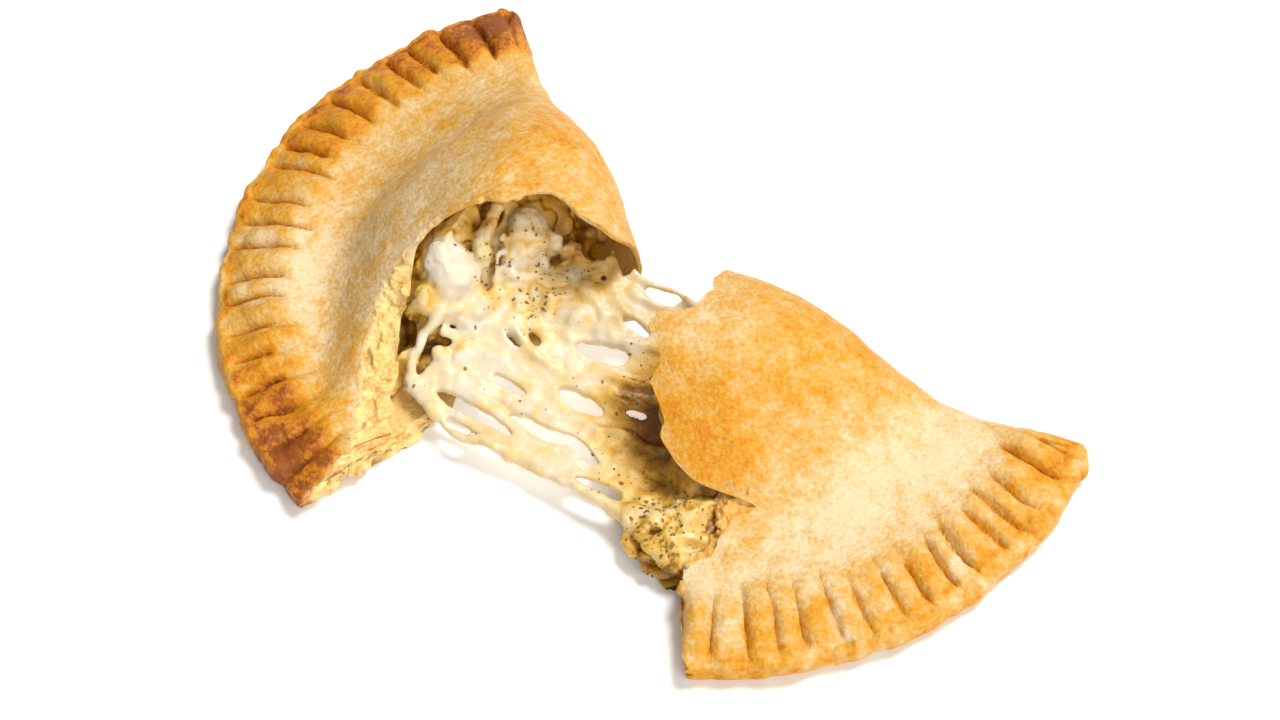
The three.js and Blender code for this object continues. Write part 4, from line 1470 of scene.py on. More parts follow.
def largest_lump(points, quads):
    """The points and quads of the largest connected part, without loose scraps."""
    label = np.arange(len(points))
    while True:
        lowest = label[quads].min(axis=1)
        spread = label.copy()
        np.minimum.at(spread, quads.ravel(), np.repeat(lowest, 4))
        spread = spread[spread]
        if np.array_equal(spread, label):
            break
        label = spread
    keep = label == np.bincount(label).argmax()
    number = np.cumsum(keep) - 1
    return points[keep], number[quads[keep[quads[:, 0]]]]


TINT_REACH = 0.9
TINT_SHARE = 0.85


def tinted(oil_and_shade, places):
    """Gives each lump the oil of its own colour."""
    for half, lumps, _ in MOUTHS:
        for along, out, z, size, _, tint in lumps:
            shape = lump_shape(half, along, out, z, size)[2]
            near = bell(np.maximum(shape(*places.T), 0) / TINT_REACH)
            oil_and_shade = lerp(oil_and_shade, tint, TINT_SHARE * near)
    return oil_and_shade


FLAP_LEAST = 6.0
# Distances behind the left filling's face, along a tear and past the flap over which zones start or end
LEFT_BEHIND = (-3, 3)
LEFT_FROM = (-12, -2)
LEFT_TO = (50, 56)
DEEP_BEHIND = (1, 5)
LEFT_FOLD_TO = (8, 24)
FLAP_PAST = (2, 13)
FLAP_FROM = (5, 14)
FLAP_EDGE_PAST = (-1, 6)
FLAP_EDGE_FROM = (14, 22)
RIGHT_FROM = (34, 42)
HERBY_BEHIND = (-12, -7)
HERBY_TO = (14, 26)


def cheese_zones(points):
    """Shares of the cheese's places: in the left mouth, deep in it and by its fold, under the right half's
    flap and right under its edge, at the right mouth, and in the herby part of the sheet's back."""
    along, out = LEFT.mouth_place(points[:, :2])
    behind = FACE_START - out - FACE_SLOPE * (points[:, 2] - BASE)
    right_along, right_out = RIGHT.mouth_place(points[:, :2])
    past_flap = right_out - np.maximum(curve_through(RIGHT.top_tear, right_along), FLAP_LEAST)
    left = smooth(behind, *LEFT_BEHIND) * smooth(along, *LEFT_FROM) * falling(along, *LEFT_TO)
    flap = falling(past_flap, *FLAP_PAST) * smooth(right_along, *FLAP_FROM)
    return {
        "left": left,
        "left_deep": left * smooth(behind, *DEEP_BEHIND),
        "left_fold": left * falling(along, *LEFT_FOLD_TO),
        "flap": flap,
        "flap_shadow": flap * falling(past_flap, *FLAP_EDGE_PAST) * smooth(right_along, *FLAP_EDGE_FROM),
        "right": flap * smooth(right_along, *RIGHT_FROM),
        "herby": smooth(behind, *HERBY_BEHIND) * falling(along, *HERBY_TO),
    }


SKIN_ROUNDS = 2  # how often the skinned cheese is evened out
# Fine relief of the cheese
BUMP_LAYERS = ((0.16, 2.6, 51), (0.12, 1.2, 52))
THREAD_LAYERS = ((0.16, 1.3, 53),)
THREAD_STRETCH = np.array([1, 1, 0.35])
FLAKE_LAYERS = ((0.18, 1.6, 54),)
FLAKE_STRETCH = np.array([0.5, 0.5, 2.0])
CURD_NOISE = (2.4, 57)
CURD_EDGE = 2.4
CURD_GAPS = (0.2, 1)
CURD_GAP_DEPTH = 0.2
VEINS = (0.45, 1.0)
LOWEST_CHEESE = 0.3
# Oil, painted shade and herbs that each zone of the cheese has, past what all of it has
OIL = 0.21
# Under the right half's flap the added oil is partly painted shadow of the flap over real oil and herbs,
# right by its edge it is painted shadow, and deep in the left mouth it is partly painted shade; in the herby
# part it is oil
ZONE_OIL_AND_SHADE = {"flap": 0.5, "flap_shadow": 0.3, "left_deep": 0.45, "herby": 0.16}
OIL_LAYERS = ((0.12, 5.0, 55), (0.14, 2.2, 56))
# Painted shade in the cheese's creases, with the oil that gathers there: some everywhere, more where it is
# craggy
CREASE_SHADE_AND_OIL = (0.1, 0.24)  # everywhere, and more where the cheese is craggy
VEIN_OIL = 0.3
HERB = 0.22
FLAP_HERB = 0.7
LEFT_HERB = 0.5


def cheese_arrays(step, thin, rim):
    """Points, quads, normals and masks of the cheese that shows."""
    points, quads = largest_lump(*skin(cheese_field(step, thin, rim)))
    points = relaxed(points, quads, SKIN_ROUNDS)
    normals = vertex_normals(points, quads)
    zones = cheese_zones(points)
    craggy = np.maximum.reduce([zones["left"], zones["right"], zones["herby"]])
    curds = 1 - CURD_EDGE * np.abs(noise(points, *CURD_NOISE))
    threads = layered(points * THREAD_STRETCH, THREAD_LAYERS) - CURD_GAP_DEPTH * smooth(curds, *CURD_GAPS)
    push = layered(points, BUMP_LAYERS) + craggy * threads
    push = push + zones["right"] * layered(points * FLAKE_STRETCH, FLAKE_LAYERS)
    points = points + normals * push[:, None]
    points[:, 2] = np.maximum(points[:, 2], LOWEST_CHEESE)
    creases = crevices(points, normals, quads)
    oil_and_shade = OIL + sum(amount * zones[key] for key, amount in ZONE_OIL_AND_SHADE.items())
    oil_and_shade = tinted(oil_and_shade, warped(points)) + (CREASE_SHADE_AND_OIL[0] + CREASE_SHADE_AND_OIL[1] * craggy) * creases
    oil_and_shade = oil_and_shade + VEIN_OIL * craggy * smooth(curds, *VEINS) + layered(points, OIL_LAYERS)
    herb = HERB + FLAP_HERB * zones["flap"] + LEFT_HERB * np.maximum(zones["left_fold"], zones["herby"])
    masks = {"oil_and_shade": np.clip(oil_and_shade, 0, 1), "herb": np.clip(herb, 0, 1) * open_share(points)}
    return points, quads, normals, masks


COVERED = (-3, 0.5)  # distances past a half's torn edge over which the cheese comes into the open


def open_share(points):
    """0 where a half's top crust lies over the cheese, 1 in the open."""
    share = np.ones(len(points))
    for half in HALVES:
        along, out = half.mouth_place(points[:, :2])
        share = share * smooth(out - curve_through(half.top_tear, along), *COVERED)
    return share


CORE_SHARES = (0.36, 0.97)  # how deep in a half's hollow the hidden filling starts and ends
CORE_EVERY = 5  # one in so many points of a section
CORE_CAP = 0.02  # size of the rings that close its ends


def core_arrays(half):
    """Points and quads of the filling deep inside a half, closed at both ends by shrunken rings."""
    t = np.linspace(*CORE_SHARES, HOLLOW_ROWS)

    def core_points(part, a, zone, share):
        return inner_points(part, a, zone, share, CORE_GAP)

    every = np.concatenate([np.arange(len(share)) % CORE_EVERY == 0 for _, share in ZONES])
    loops = rings(half, t, half.cavity_end, core_points, half.seed + HOLLOW_SEED)[:, every]
    middle = loops.mean(axis=1, keepdims=True)
    loops = lerp(middle, loops, np.sqrt(1 - t**END_POWER)[:, None, None])
    caps = [lerp(middle[end], loops[end], CORE_CAP)[None] for end in (0, -1)]
    loops = np.concatenate([caps[0], loops, caps[1]])
    points = raised(half.to_part(loops[..., :2]), loops[..., 2]).reshape(-1, 3)
    return points, grid_faces(len(loops), loops.shape[1], half.turn > 0)


# Herb flecks

FLECK_SIDES = 6
FLECK_SPREAD = (-0.1, 0.6)  # middle and spread of the flecks' sizes, as logarithms
FLECK_LARGEST = 2.4
FLECK_WIDTHS = (0.45, 0.9)
FLECK_RAGS = (0.7, 1.15)
FLECK_THICK = (0.05, 0.16)  # least half thickness, and its share of the length


def fleck_arrays(points, normals, weights, count, size, rng):
    """Small flat uneven leaves pressed into the cheese."""
    chosen = rng.choice(len(points), count, p=weights / weights.sum())
    angles = np.linspace(0, 2 * np.pi, FLECK_SIDES, endpoint=False)
    all_points, all_faces = [], []
    for index in chosen:
        normal = normals[index]
        side = np.cross(normal, rng.normal(size=3))
        side /= length(side)
        other = np.cross(normal, side)
        long = size * min(rng.lognormal(*FLECK_SPREAD), FLECK_LARGEST)
        wide = long * rng.uniform(*FLECK_WIDTHS)
        reach = rng.uniform(*FLECK_RAGS, FLECK_SIDES)
        ring = np.outer(np.cos(angles) * long * reach, side) + np.outer(np.sin(angles) * wide * reach, other)
        ring = ring + points[index]
        thick = FLECK_THICK[0] + FLECK_THICK[1] * long
        start = FLECK_SIDES * 2 * len(all_points)
        all_points.append(np.concatenate([ring - normal * thick, ring + normal * thick]))
        top = start + FLECK_SIDES + np.arange(FLECK_SIDES)
        for k in range(FLECK_SIDES):
            after = (k + 1) % FLECK_SIDES
            all_faces.append([start + k, start + after, top[after], top[k]])
        for k in range(1, FLECK_SIDES - 1, 2):
            all_faces.append([top[0], top[k], top[k + 1], top[(k + 2) % FLECK_SIDES]])
            all_faces.append([start, start + (k + 2) % FLECK_SIDES, start + k + 1, start + k])
    return np.concatenate(all_points), [np.array(all_faces)]


# Materials

SCREEN_KNEE = 0.04045  # below this share a screen's colours are linear
SCREEN_SLOPE = 12.92
SCREEN_LIFT = 0.055
SCREEN_POWER = 2.4


def from_screen(red, green, blue):
    """A colour picked on the screen, 0 to 255, as the shader's linear colour."""
    shares = np.array([red, green, blue]) / 255
    curved = ((shares + SCREEN_LIFT) / (1 + SCREEN_LIFT)) ** SCREEN_POWER
    return (*np.where(shares <= SCREEN_KNEE, shares / SCREEN_SLOPE, curved).tolist(), 1.0)


def new_material(name):
    material = bpy.data.materials.new(name)
    material.use_nodes = True
    return material, material.node_tree, material.node_tree.nodes["Principled BSDF"]


def add(tree, kind, **settings):
    """A node with its settings, where a setting that isn't the node's own is one of its inputs."""
    node = tree.nodes.new(kind)
    for key, value in settings.items():
        if hasattr(node, key):
            setattr(node, key, value)
        else:
            node.inputs[key.replace("_", " ")].default_value = value
    return node


def mask_node(tree, key):
    return add(tree, "ShaderNodeAttribute", attribute_name=key).outputs["Fac"]


def math_node(tree, operation, first, second, clamp=False):
    node = add(tree, "ShaderNodeMath", operation=operation, use_clamp=clamp)
    for socket, value in zip(node.inputs, (first, second)):
        if isinstance(value, (int, float)):
            socket.default_value = value
        else:
            tree.links.new(value, socket)
    return node.outputs[0]


def mix_colour(tree, share, first, second):
    node = add(tree, "ShaderNodeMix", data_type="RGBA")
    for socket, value in zip((node.inputs[0], node.inputs[6], node.inputs[7]), (share, first, second)):
        if hasattr(value, "is_linked"):
            tree.links.new(value, socket)
        else:
            socket.default_value = value
    return node.outputs[2]


def ramp(tree, share, places, tones):
    """A colour that goes through tones, each at its place."""
    node = add(tree, "ShaderNodeValToRGB")
    elements = node.color_ramp.elements
    for _ in places[2:]:
        elements.new(0.5)
    for element, place, tone in zip(elements, places, tones):
        element.position = place
        element.color = tone
    tree.links.new(share, node.inputs[0])
    return node.outputs[0]


def group_sockets(tree, inputs, outputs):
    for name, kind, default in inputs:
        socket = tree.interface.new_socket(name, in_out="INPUT", socket_type=kind)
        socket.default_value = default
    for name, kind in outputs:
        tree.interface.new_socket(name, in_out="OUTPUT", socket_type=kind)
    return tree.nodes.new("NodeGroupInput"), tree.nodes.new("NodeGroupOutput")


def object_place(tree):
    return add(tree, "ShaderNodeTexCoord").outputs["Object"]


NOISE_ROUGHNESS = 0.6


def food_grain_group():
    """Mottling and fine lumps at two sizes that crust, cheese and herbs share."""
    tree = bpy.data.node_groups.new("Food grain", "ShaderNodeTree")
    sizes = {"Coarse size": 250.0, "Fine size": 900.0, "Fine share": 0.5}
    inputs = [(key, "NodeSocketFloat", value) for key, value in sizes.items()]
    outputs = [(key, "NodeSocketFloat") for key in ("Mottle", "Height", "Specks")]
    given, made = group_sockets(tree, inputs, outputs)
    place = object_place(tree)
    mix = add(tree, "ShaderNodeMix", data_type="FLOAT")
    tree.links.new(given.outputs["Fine share"], mix.inputs[0])
    layers = (("Coarse size", 3.0, "Mottle", 2), ("Fine size", 4.0, "Specks", 3))
    for size, detail, output, mix_input in layers:
        texture = add(tree, "ShaderNodeTexNoise", Detail=detail, Roughness=NOISE_ROUGHNESS)
        tree.links.new(place, texture.inputs["Vector"])
        tree.links.new(given.outputs[size], texture.inputs["Scale"])
        tree.links.new(texture.outputs["Fac"], mix.inputs[mix_input])
        tree.links.new(math_node(tree, "SUBTRACT", texture.outputs["Fac"], 0.5), made.inputs[output])
    tree.links.new(mix.outputs[0], made.inputs["Height"])
    return tree


def food_streaks_group():
    """Long uneven streaks along one direction."""
    tree = bpy.data.node_groups.new("Food streaks", "ShaderNodeTree")
    inputs = [("Turn", "NodeSocketVector", (0, 0, 0)), ("Size", "NodeSocketVector", (0.003, 0.001, 0.001))]
    given, made = group_sockets(tree, inputs, [("Streak", "NodeSocketFloat")])
    turned = add(tree, "ShaderNodeMapping", vector_type="TEXTURE")
    tree.links.new(object_place(tree), turned.inputs["Vector"])
    tree.links.new(given.outputs["Turn"], turned.inputs["Rotation"])
    tree.links.new(given.outputs["Size"], turned.inputs["Scale"])
    texture = add(tree, "ShaderNodeTexNoise", Scale=1.0, Detail=3.0, Roughness=NOISE_ROUGHNESS)
    tree.links.new(turned.outputs["Vector"], texture.inputs["Vector"])
    tree.links.new(math_node(tree, "SUBTRACT", texture.outputs["Fac"], 0.5), made.inputs["Streak"])
    return tree


GROUPS = {"Food grain": food_grain_group, "Food streaks": food_streaks_group}


def place_group(tree, name, **values):
    """A node of one of the shared groups, which is made when it is first wanted."""
    node = tree.nodes.new("ShaderNodeGroup")
    node.node_tree = bpy.data.node_groups.get(name) or GROUPS[name]()
    for key, value in values.items():
        node.inputs[key].default_value = value
    return node.outputs


def grain(tree, coarse, fine, share):
    return place_group(tree, "Food grain", **{"Coarse size": coarse, "Fine size": fine, "Fine share": share})


def bump(tree, shader, height, strength, distance):
    node = add(tree, "ShaderNodeBump", Strength=strength, Distance=distance)
    tree.links.new(height, node.inputs["Height"])
    tree.links.new(node.outputs["Normal"], shader.inputs["Normal"])


def varied(tree, value, parts, shares):
    """A value with shares of other parts added, kept between 0 and 1."""
    for part, share in zip(parts, shares):
        value = math_node(tree, "ADD", value, math_node(tree, "MULTIPLY", part, share))
    return math_node(tree, "ADD", value, 0.0, clamp=True)


def set_surface(tree, shader, specks, roughness, scatter, specular):
    """Roughness that varies with specks, given as how much and round what, and light inside the food,
    given as its share, colour radii and depth in metres."""
    rough = math_node(tree, "MULTIPLY_ADD", specks, roughness[0])
    rough.node.inputs[2].default_value = roughness[1]
    tree.links.new(rough, shader.inputs["Roughness"])
    for key, value in zip(("Weight", "Radius", "Scale"), scatter):
        shader.inputs["Subsurface " + key].default_value = value
    shader.inputs["Specular IOR Level"].default_value = specular


CRUST_STREAKS = {"Turn": (0, 0, math.radians(34)), "Size": (0.0034, 0.0007, 0.0007)}
CHEESE_STREAKS = {"Turn": (0, 0, math.radians(SLIT_ANGLE)), "Size": (0.006, 0.0008, 0.0012)}
# Lumps per metre of the mottling and of the fine grain, and the fine grain's share of the bumps
CRUST_GRAIN = (330.0, 1250.0, 0.55)
CRUMB_GRAIN = (420.0, 1500.0, 0.4)
CHEESE_GRAIN = (240.0, 900.0, 0.4)
DUST_GRAIN = (900.0, 1500.0, 0.5)
LEAF_GRAIN = (500.0, 1500.0, 0.5)
# How much of the mottling, the specks and the streaks goes into the bake and into the oil
BAKE_SHARES = (0.7, 0.8, 0.5)
OIL_SHARES = (0.6, 0.3, 0.22)
# Where the tones of each material lie, from its first to its last
BAKE_PLACES = (0.04, 0.32, 0.56, 0.76, 0.98)
CRUMB_PLACES = (0.38, 0.54)
OIL_PLACES = (0.04, 0.34, 0.6, 0.84, 1.0)
LEAF_PLACES = (0.3, 0.7)
# Roughness, light inside and gloss, as set_surface takes them, and strength and depth of the bumps
CRUST_SURFACE = ((0.5, 0.5), (0.08, (1.0, 0.5, 0.2), 0.002), 0.28)
CHEESE_SURFACE = ((0.3, 0.4), (0.3, (1.0, 0.75, 0.4), 0.0025), 0.5)
LEAF_ROUGHNESS = 0.6
CRUST_BUMP = (0.75, 0.0009)
CHEESE_BUMP = (0.5, 0.0007)
LEAF_BUMP = (0.4, 0.0002)
HERB_DUST = 0.1  # how much more dust there is where herbs lie
DUST_EDGE = 0.23
DUST_SHARPNESS = 14.0


def crust_material(colours):
    """Baked dough: golden, mottled and streaky outside, pale and porous where it is torn."""
    material, tree, shader = new_material("Baked crust")
    skin_grain = grain(tree, *CRUST_GRAIN)
    streaks = place_group(tree, "Food streaks", **CRUST_STREAKS)
    streak = math_node(tree, "MULTIPLY", streaks["Streak"], mask_node(tree, "streak"))
    parts = (skin_grain["Mottle"], skin_grain["Specks"], streak)
    bake = varied(tree, mask_node(tree, "bake"), parts, BAKE_SHARES)
    tones = (colours.pale, colours.golden, colours.glow, colours.amber, colours.brown)
    outside = ramp(tree, bake, BAKE_PLACES, tones)
    crumb_grain = grain(tree, *CRUMB_GRAIN)
    crumb = ramp(tree, crumb_grain["Height"], CRUMB_PLACES, (colours.crumb_shade, colours.crumb))
    stained = math_node(tree, "ADD", mask_node(tree, "stain"), crumb_grain["Mottle"], clamp=True)
    crumb = mix_colour(tree, stained, crumb, colours.stain)
    torn = mask_node(tree, "crumb")
    tree.links.new(mix_colour(tree, torn, outside, crumb), shader.inputs["Base Color"])
    set_surface(tree, shader, skin_grain["Specks"], *CRUST_SURFACE)
    bump(tree, shader, skin_grain["Height"], *CRUST_BUMP)
    return material


def cheese_material(colours):
    """Melted cheese: creamy and glossy, yellower where the oil gathers, darker with painted shade in its
    creases, deep in the left mouth and under the right half's flap, with herb dust.
    """
    material, tree, shader = new_material("Melted cheese")
    pulled = place_group(tree, "Food streaks", **CHEESE_STREAKS)
    creamy = grain(tree, *CHEESE_GRAIN)
    dust = grain(tree, *DUST_GRAIN)
    parts = (creamy["Mottle"], creamy["Specks"], pulled["Streak"])
    oil_and_shade = varied(tree, mask_node(tree, "oil_and_shade"), parts, OIL_SHARES)
    tones = (colours.cream, colours.butter, colours.cheese_yellow, colours.olive, colours.dark_oil_and_shadow)
    base = ramp(tree, oil_and_shade, OIL_PLACES, tones)
    herb = math_node(tree, "MULTIPLY", mask_node(tree, "herb"), HERB_DUST)
    specks = math_node(tree, "SUBTRACT", math_node(tree, "ADD", dust["Mottle"], herb), DUST_EDGE)
    share = math_node(tree, "MULTIPLY", specks, DUST_SHARPNESS, clamp=True)
    tree.links.new(mix_colour(tree, share, base, colours.herb), shader.inputs["Base Color"])
    set_surface(tree, shader, creamy["Specks"], *CHEESE_SURFACE)
    bump(tree, shader, creamy["Height"], *CHEESE_BUMP)
    return material


def herb_material(colours):
    """Dried herb leaves, brown green and matt."""
    material, tree, shader = new_material("Dried herb")
    leaf = grain(tree, *LEAF_GRAIN)
    share = math_node(tree, "ADD", leaf["Mottle"], 0.5, clamp=True)
    tone = ramp(tree, share, LEAF_PLACES, (colours.herb, colours.herb_light))
    tree.links.new(tone, shader.inputs["Base Color"])
    shader.inputs["Roughness"].default_value = LEAF_ROUGHNESS
    bump(tree, shader, leaf["Height"], *LEAF_BUMP)
    return material


TABLE_GLOW = 0.03  # a light table: it brightens the shadows
# Painted pool of light: the table glows under the stretched sheet, standing in for light that the thin
# cheese lets through
PAINTED_SHEET_LIGHT = 0.5  # light that the thin sheet lets through to the table under it
PAINTED_SHEET_LIGHT_PLACE = (-13 * MM, -14 * MM, 0)
PAINTED_SHEET_LIGHT_RADIUS = 27 * MM
GLOW_COLOUR = np.array([1.0, 0.97, 0.94, 1])
GLOW_PLACES = (0.0, 0.5)
TABLE_TONES = (0.9, 0.93)
TABLE_NOISE = {"Scale": 6.0, "Detail": 2.0}
TABLE_ROUGHNESS = 0.8
TABLE_GLOSS = 0.1


def floor_material():
    """A plain white light table, faintly uneven, with a painted pool of light under the stretched sheet."""
    material, tree, shader = new_material("White table")
    texture = add(tree, "ShaderNodeTexNoise", **TABLE_NOISE)
    tones = [(tone, tone, tone, 1) for tone in TABLE_TONES]
    tree.links.new(ramp(tree, texture.outputs["Fac"], (0, 1), tones), shader.inputs["Base Color"])
    shader.inputs["Roughness"].default_value = TABLE_ROUGHNESS
    shader.inputs["Specular IOR Level"].default_value = TABLE_GLOSS
    spread = add(tree, "ShaderNodeMapping", vector_type="TEXTURE", Location=PAINTED_SHEET_LIGHT_PLACE)
    spread.inputs["Scale"].default_value = [PAINTED_SHEET_LIGHT_RADIUS] * 3
    tree.links.new(object_place(tree), spread.inputs["Vector"])
    # The painted pool of light, strongest under the middle of the sheet
    painted_light_pool = add(tree, "ShaderNodeTexGradient", gradient_type="SPHERICAL")
    tree.links.new(spread.outputs["Vector"], painted_light_pool.inputs["Vector"])
    glow = (GLOW_COLOUR * TABLE_GLOW / PAINTED_SHEET_LIGHT, GLOW_COLOUR)
    tree.links.new(ramp(tree, painted_light_pool.outputs["Fac"], GLOW_PLACES, glow), shader.inputs["Emission Color"])
    shader.inputs["Emission Strength"].default_value = PAINTED_SHEET_LIGHT
    return material


# Add-on

def colour_property(name, description, screen):
    colour = from_screen(*screen)
    kind = {"subtype": "COLOR", "size": 4, "min": 0, "max": 1}
    return FloatVectorProperty(name=name, description=description, default=colour, **kind)


def number_property(name, description, default, **limits):
    return FloatProperty(name=name, description=description, default=default, **limits)


class TurnoverColours(bpy.types.PropertyGroup):
    """Colours of the baked dough, the cheese and the herbs"""

    pale: colour_property("Pale dough", "Dough that the oven hardly coloured", (221, 196, 156))
    golden: colour_property("Golden crust", "Most of the baked outside", (208, 166, 94))
    glow: colour_property("Glowing crust", "Crowns of the crimps", (207, 143, 16))
    # Amber and brown also carry the painted shade along the grooves' cracks
    amber: colour_property("Amber crust", "Outer ends and sides of the crimps", (196, 118, 24))
    brown: colour_property("Brown crust", "Cracks, corners and lip", (140, 74, 16))
    crumb: colour_property("Crumb", "Torn dough", (242, 217, 154))
    crumb_shade: colour_property("Crumb pores", "Pores in the torn dough", (218, 162, 70))
    stain: colour_property("Oily crumb", "Torn dough soaked by the filling", (212, 164, 76))
    cream: colour_property("Cream cheese", "Fresh stretched cheese", (216, 206, 186))
    butter: colour_property("Buttery cheese", "Cheese with some oil", (216, 192, 138))
    # The tones from here on also carry painted shade: in creases, deep in the left mouth, and as the flap's
    # painted shadow under the right half
    cheese_yellow: colour_property("Yellow cheese", "Cheese in its creases", (212, 170, 78))
    olive: colour_property("Herb oil", "Where oil and herbs gather", (168, 120, 18))
    dark_oil_and_shadow: colour_property("Dark oil", "Deep between the curds", (112, 68, 4))
    herb: colour_property("Dark herb", "Dried herb", (102, 74, 24))
    herb_light: colour_property("Light herb", "Herb where it is thin", (152, 114, 40))


class TurnoverSizes(bpy.types.PropertyGroup):
    """Sizes of the fine surface, the herbs and the camera"""

    relief: number_property(
        "Crust relief", "Share of the baked unevenness", 1.0, min=0, max=2, subtype="FACTOR"
    )
    cheese_step: number_property(
        "Cheese step", "Spacing of the cheese's surface in mm", 0.42, min=0.3, max=1.5
    )
    sheet_thickness: number_property(
        "Sheet thickness", "Stretched cheese sheet in mm", 1.15, min=0.6, max=3
    )
    sheet_rim: number_property(
        "Hole rim", "How much thicker the sheet is round its holes, in mm", 0.45, min=0, max=2
    )
    fleck_count: IntProperty(
        name="Herb flecks", description="Number of herb flecks", default=620, min=1, max=4000
    )
    fleck_size: number_property(
        "Fleck size", "Half length of a common fleck in mm", 0.19, min=0.1, max=1.5
    )
    focal_length: number_property(
        "Lens", "Focal length of the camera", 85.0, min=20, max=300, unit="CAMERA"
    )
    key_power: number_property(
        "Key light", "Power of the soft light from behind right", 13.2, min=0, unit="POWER"
    )
    fill_power: number_property(
        "Fill light", "Power of the broad light from the front", 7.0, min=0, unit="POWER"
    )


class TURNOVER_OT_crusts(bpy.types.Operator):
    """Makes the two baked halves with their crimps and torn edges"""

    bl_idname = "turnover.crusts"
    bl_label = "Baked halves"

    def execute(self, context):
        material = crust_material(context.scene.turnover_colours)
        for half in HALVES:
            points, faces, masks = crust_arrays(half, context.scene.turnover_sizes.relief)
            piece = make_piece(half.name, points, faces, masks, material)
            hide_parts(half.node)
        return {"FINISHED"}


HIDDEN_MASK = 0.3  # oil and herbs of the filling deep inside
FLECK_SEED = 23
FLECK_CLUMPS = (3.2, 71)
FLECK_CLUMP_EDGE = (-0.1, 0.6)
FLECK_LEAST = 0.12
FLECK_TILT = (-0.2, 0.5)


class TURNOVER_OT_cheese(bpy.types.Operator):
    """Makes the melted cheese that fills both halves and stretches between them, with its herbs"""

    bl_idname = "turnover.cheese"
    bl_label = "Melted cheese and herbs"

    def execute(self, context):
        sizes, colours = context.scene.turnover_sizes, context.scene.turnover_colours
        made = cheese_arrays(sizes.cheese_step, sizes.sheet_thickness, sizes.sheet_rim)
        points, quads, normals, masks = made
        parts, faces = [points], [quads]
        for half in HALVES:
            core_points, core_quads = core_arrays(half)
            faces.append(core_quads + sum(len(part) for part in parts))
            parts.append(core_points)
        hidden = sum(len(part) for part in parts[1:])
        full = {key: np.concatenate([values, np.full(hidden, HIDDEN_MASK)]) for key, values in masks.items()}
        material = cheese_material(colours)
        piece = make_piece("melted_cheese", np.concatenate(parts), faces, full, material)
        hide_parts("cheese_filling")
        self.flecks(sizes, colours, points, normals, masks["herb"])
        return {"FINISHED"}

    def flecks(self, sizes, colours, points, normals, herb):
        clumps = FLECK_LEAST + smooth(noise(points, *FLECK_CLUMPS), *FLECK_CLUMP_EDGE)
        showing = smooth(normals[:, 2], *FLECK_TILT) * herb**2 * clumps
        rng = np.random.default_rng(FLECK_SEED)
        made = fleck_arrays(points, normals, showing, sizes.fleck_count, sizes.fleck_size, rng)
        piece = make_piece("herb_flecks", *made, {}, herb_material(colours))


FLOOR_HALF = 3.0
CAMERA_AIM = Vector((-0.35, -7.15, 0.0)) * MM
CAMERA_ELEVATION = math.radians(53.5)
CAMERA_DISTANCE = 536.0 * MM
KEY_PLACE = Vector((0.4, 0.32, 1.0))
KEY_SIZE = 0.45
FILL_PLACE = Vector((0.3, -0.74, 0.5))
FILL_SIZE = 0.9
LAMP_COLOUR = (1.0, 0.97, 0.92)
SKY_COLOUR = (1.0, 0.985, 0.96, 1)
SKY_STRENGTH = 0.28
SENSOR_WIDTH = 36.0


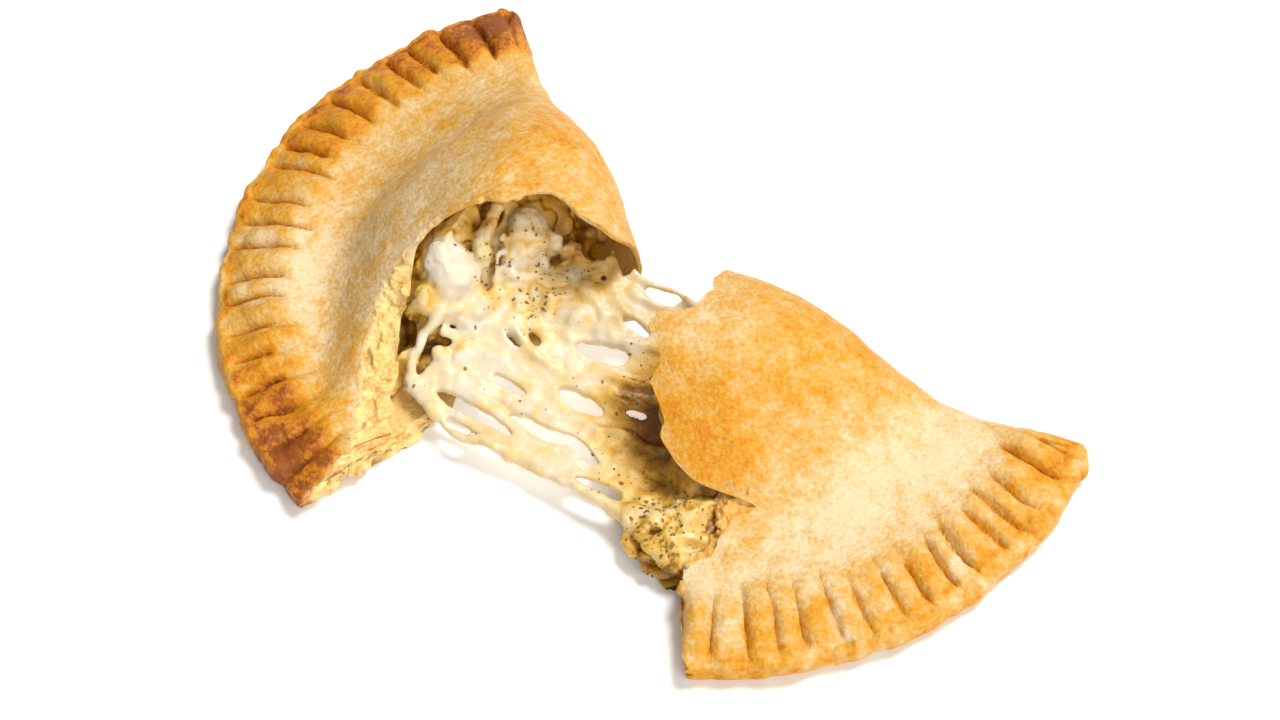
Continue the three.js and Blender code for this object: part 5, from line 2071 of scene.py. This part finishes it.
class TURNOVER_OT_stage(bpy.types.Operator):
    """Makes the white table, the soft light and the camera"""

    bl_idname = "turnover.stage"
    bl_label = "Table, light and camera"

    def execute(self, context):
        self.table()
        self.light(context.scene)
        self.camera(context.scene)
        context.scene.view_settings.view_transform = "Standard"
        return {"FINISHED"}

    def table(self):
        mesh = bpy.data.meshes.new("white_table")
        corners = [(x * FLOOR_HALF, y * FLOOR_HALF, 0) for x, y in ((-1, -1), (1, -1), (1, 1), (-1, 1))]
        mesh.from_pydata(corners, [], [(0, 1, 2, 3)])
        mesh.materials.append(floor_material())
        table = bpy.data.objects.new("white_table", mesh)
        bpy.context.scene.collection.objects.link(table)

    def lamp(self, scene, name, place, size, power):
        data = bpy.data.lights.new(name, "AREA")
        data.shape = "DISK"
        data.size = size
        data.energy = power
        data.color = LAMP_COLOUR
        lamp = bpy.data.objects.new(name, data)
        lamp.location = place
        lamp.rotation_euler = (-place).to_track_quat("-Z", "Y").to_euler()
        scene.collection.objects.link(lamp)

    def light(self, scene):
        self.lamp(scene, "key_light", KEY_PLACE, KEY_SIZE, scene.turnover_sizes.key_power)
        self.lamp(scene, "fill_light", FILL_PLACE, FILL_SIZE, scene.turnover_sizes.fill_power)
        world = scene.world or bpy.data.worlds.new("Studio")
        scene.world = world
        world.use_nodes = True
        background = world.node_tree.nodes["Background"]
        background.inputs["Color"].default_value = SKY_COLOUR
        background.inputs["Strength"].default_value = SKY_STRENGTH

    def camera(self, scene):
        data = bpy.data.cameras.new("photo_camera")
        data.lens = scene.turnover_sizes.focal_length
        data.sensor_width = SENSOR_WIDTH
        camera = bpy.data.objects.new("photo_camera", data)
        back = Vector((0, -math.cos(CAMERA_ELEVATION), math.sin(CAMERA_ELEVATION)))
        camera.location = CAMERA_AIM + CAMERA_DISTANCE * back
        camera.rotation_euler = (math.pi / 2 - CAMERA_ELEVATION, 0, 0)
        scene.collection.objects.link(camera)
        scene.camera = camera


class TURNOVER_PT_panel(bpy.types.Panel):
    """Lists the steps that make the turnover"""

    bl_idname = "TURNOVER_PT_panel"
    bl_label = "Cheese Turnover"
    bl_space_type = "VIEW_3D"
    bl_region_type = "UI"
    bl_category = "Turnover"

    def draw(self, context):
        for step in STEPS:
            self.layout.operator(step.bl_idname)
        for group in (context.scene.turnover_sizes, context.scene.turnover_colours):
            box = self.layout.box()
            for key in group.__annotations__:
                box.prop(group, key)


STEPS = (TURNOVER_OT_crusts, TURNOVER_OT_cheese, TURNOVER_OT_stage)
CLASSES = (TurnoverColours, TurnoverSizes, *STEPS, TURNOVER_PT_panel)


def register():
    for item in CLASSES:
        bpy.utils.register_class(item)
    bpy.types.Scene.turnover_colours = PointerProperty(type=TurnoverColours)
    bpy.types.Scene.turnover_sizes = PointerProperty(type=TurnoverSizes)


def unregister():
    del bpy.types.Scene.turnover_sizes
    del bpy.types.Scene.turnover_colours
    for item in reversed(CLASSES):
        bpy.utils.unregister_class(item)


def main():
    register()
    bpy.ops.turnover.crusts()
    bpy.ops.turnover.cheese()
    bpy.ops.turnover.stage()


if __name__ == "__main__":
    main()
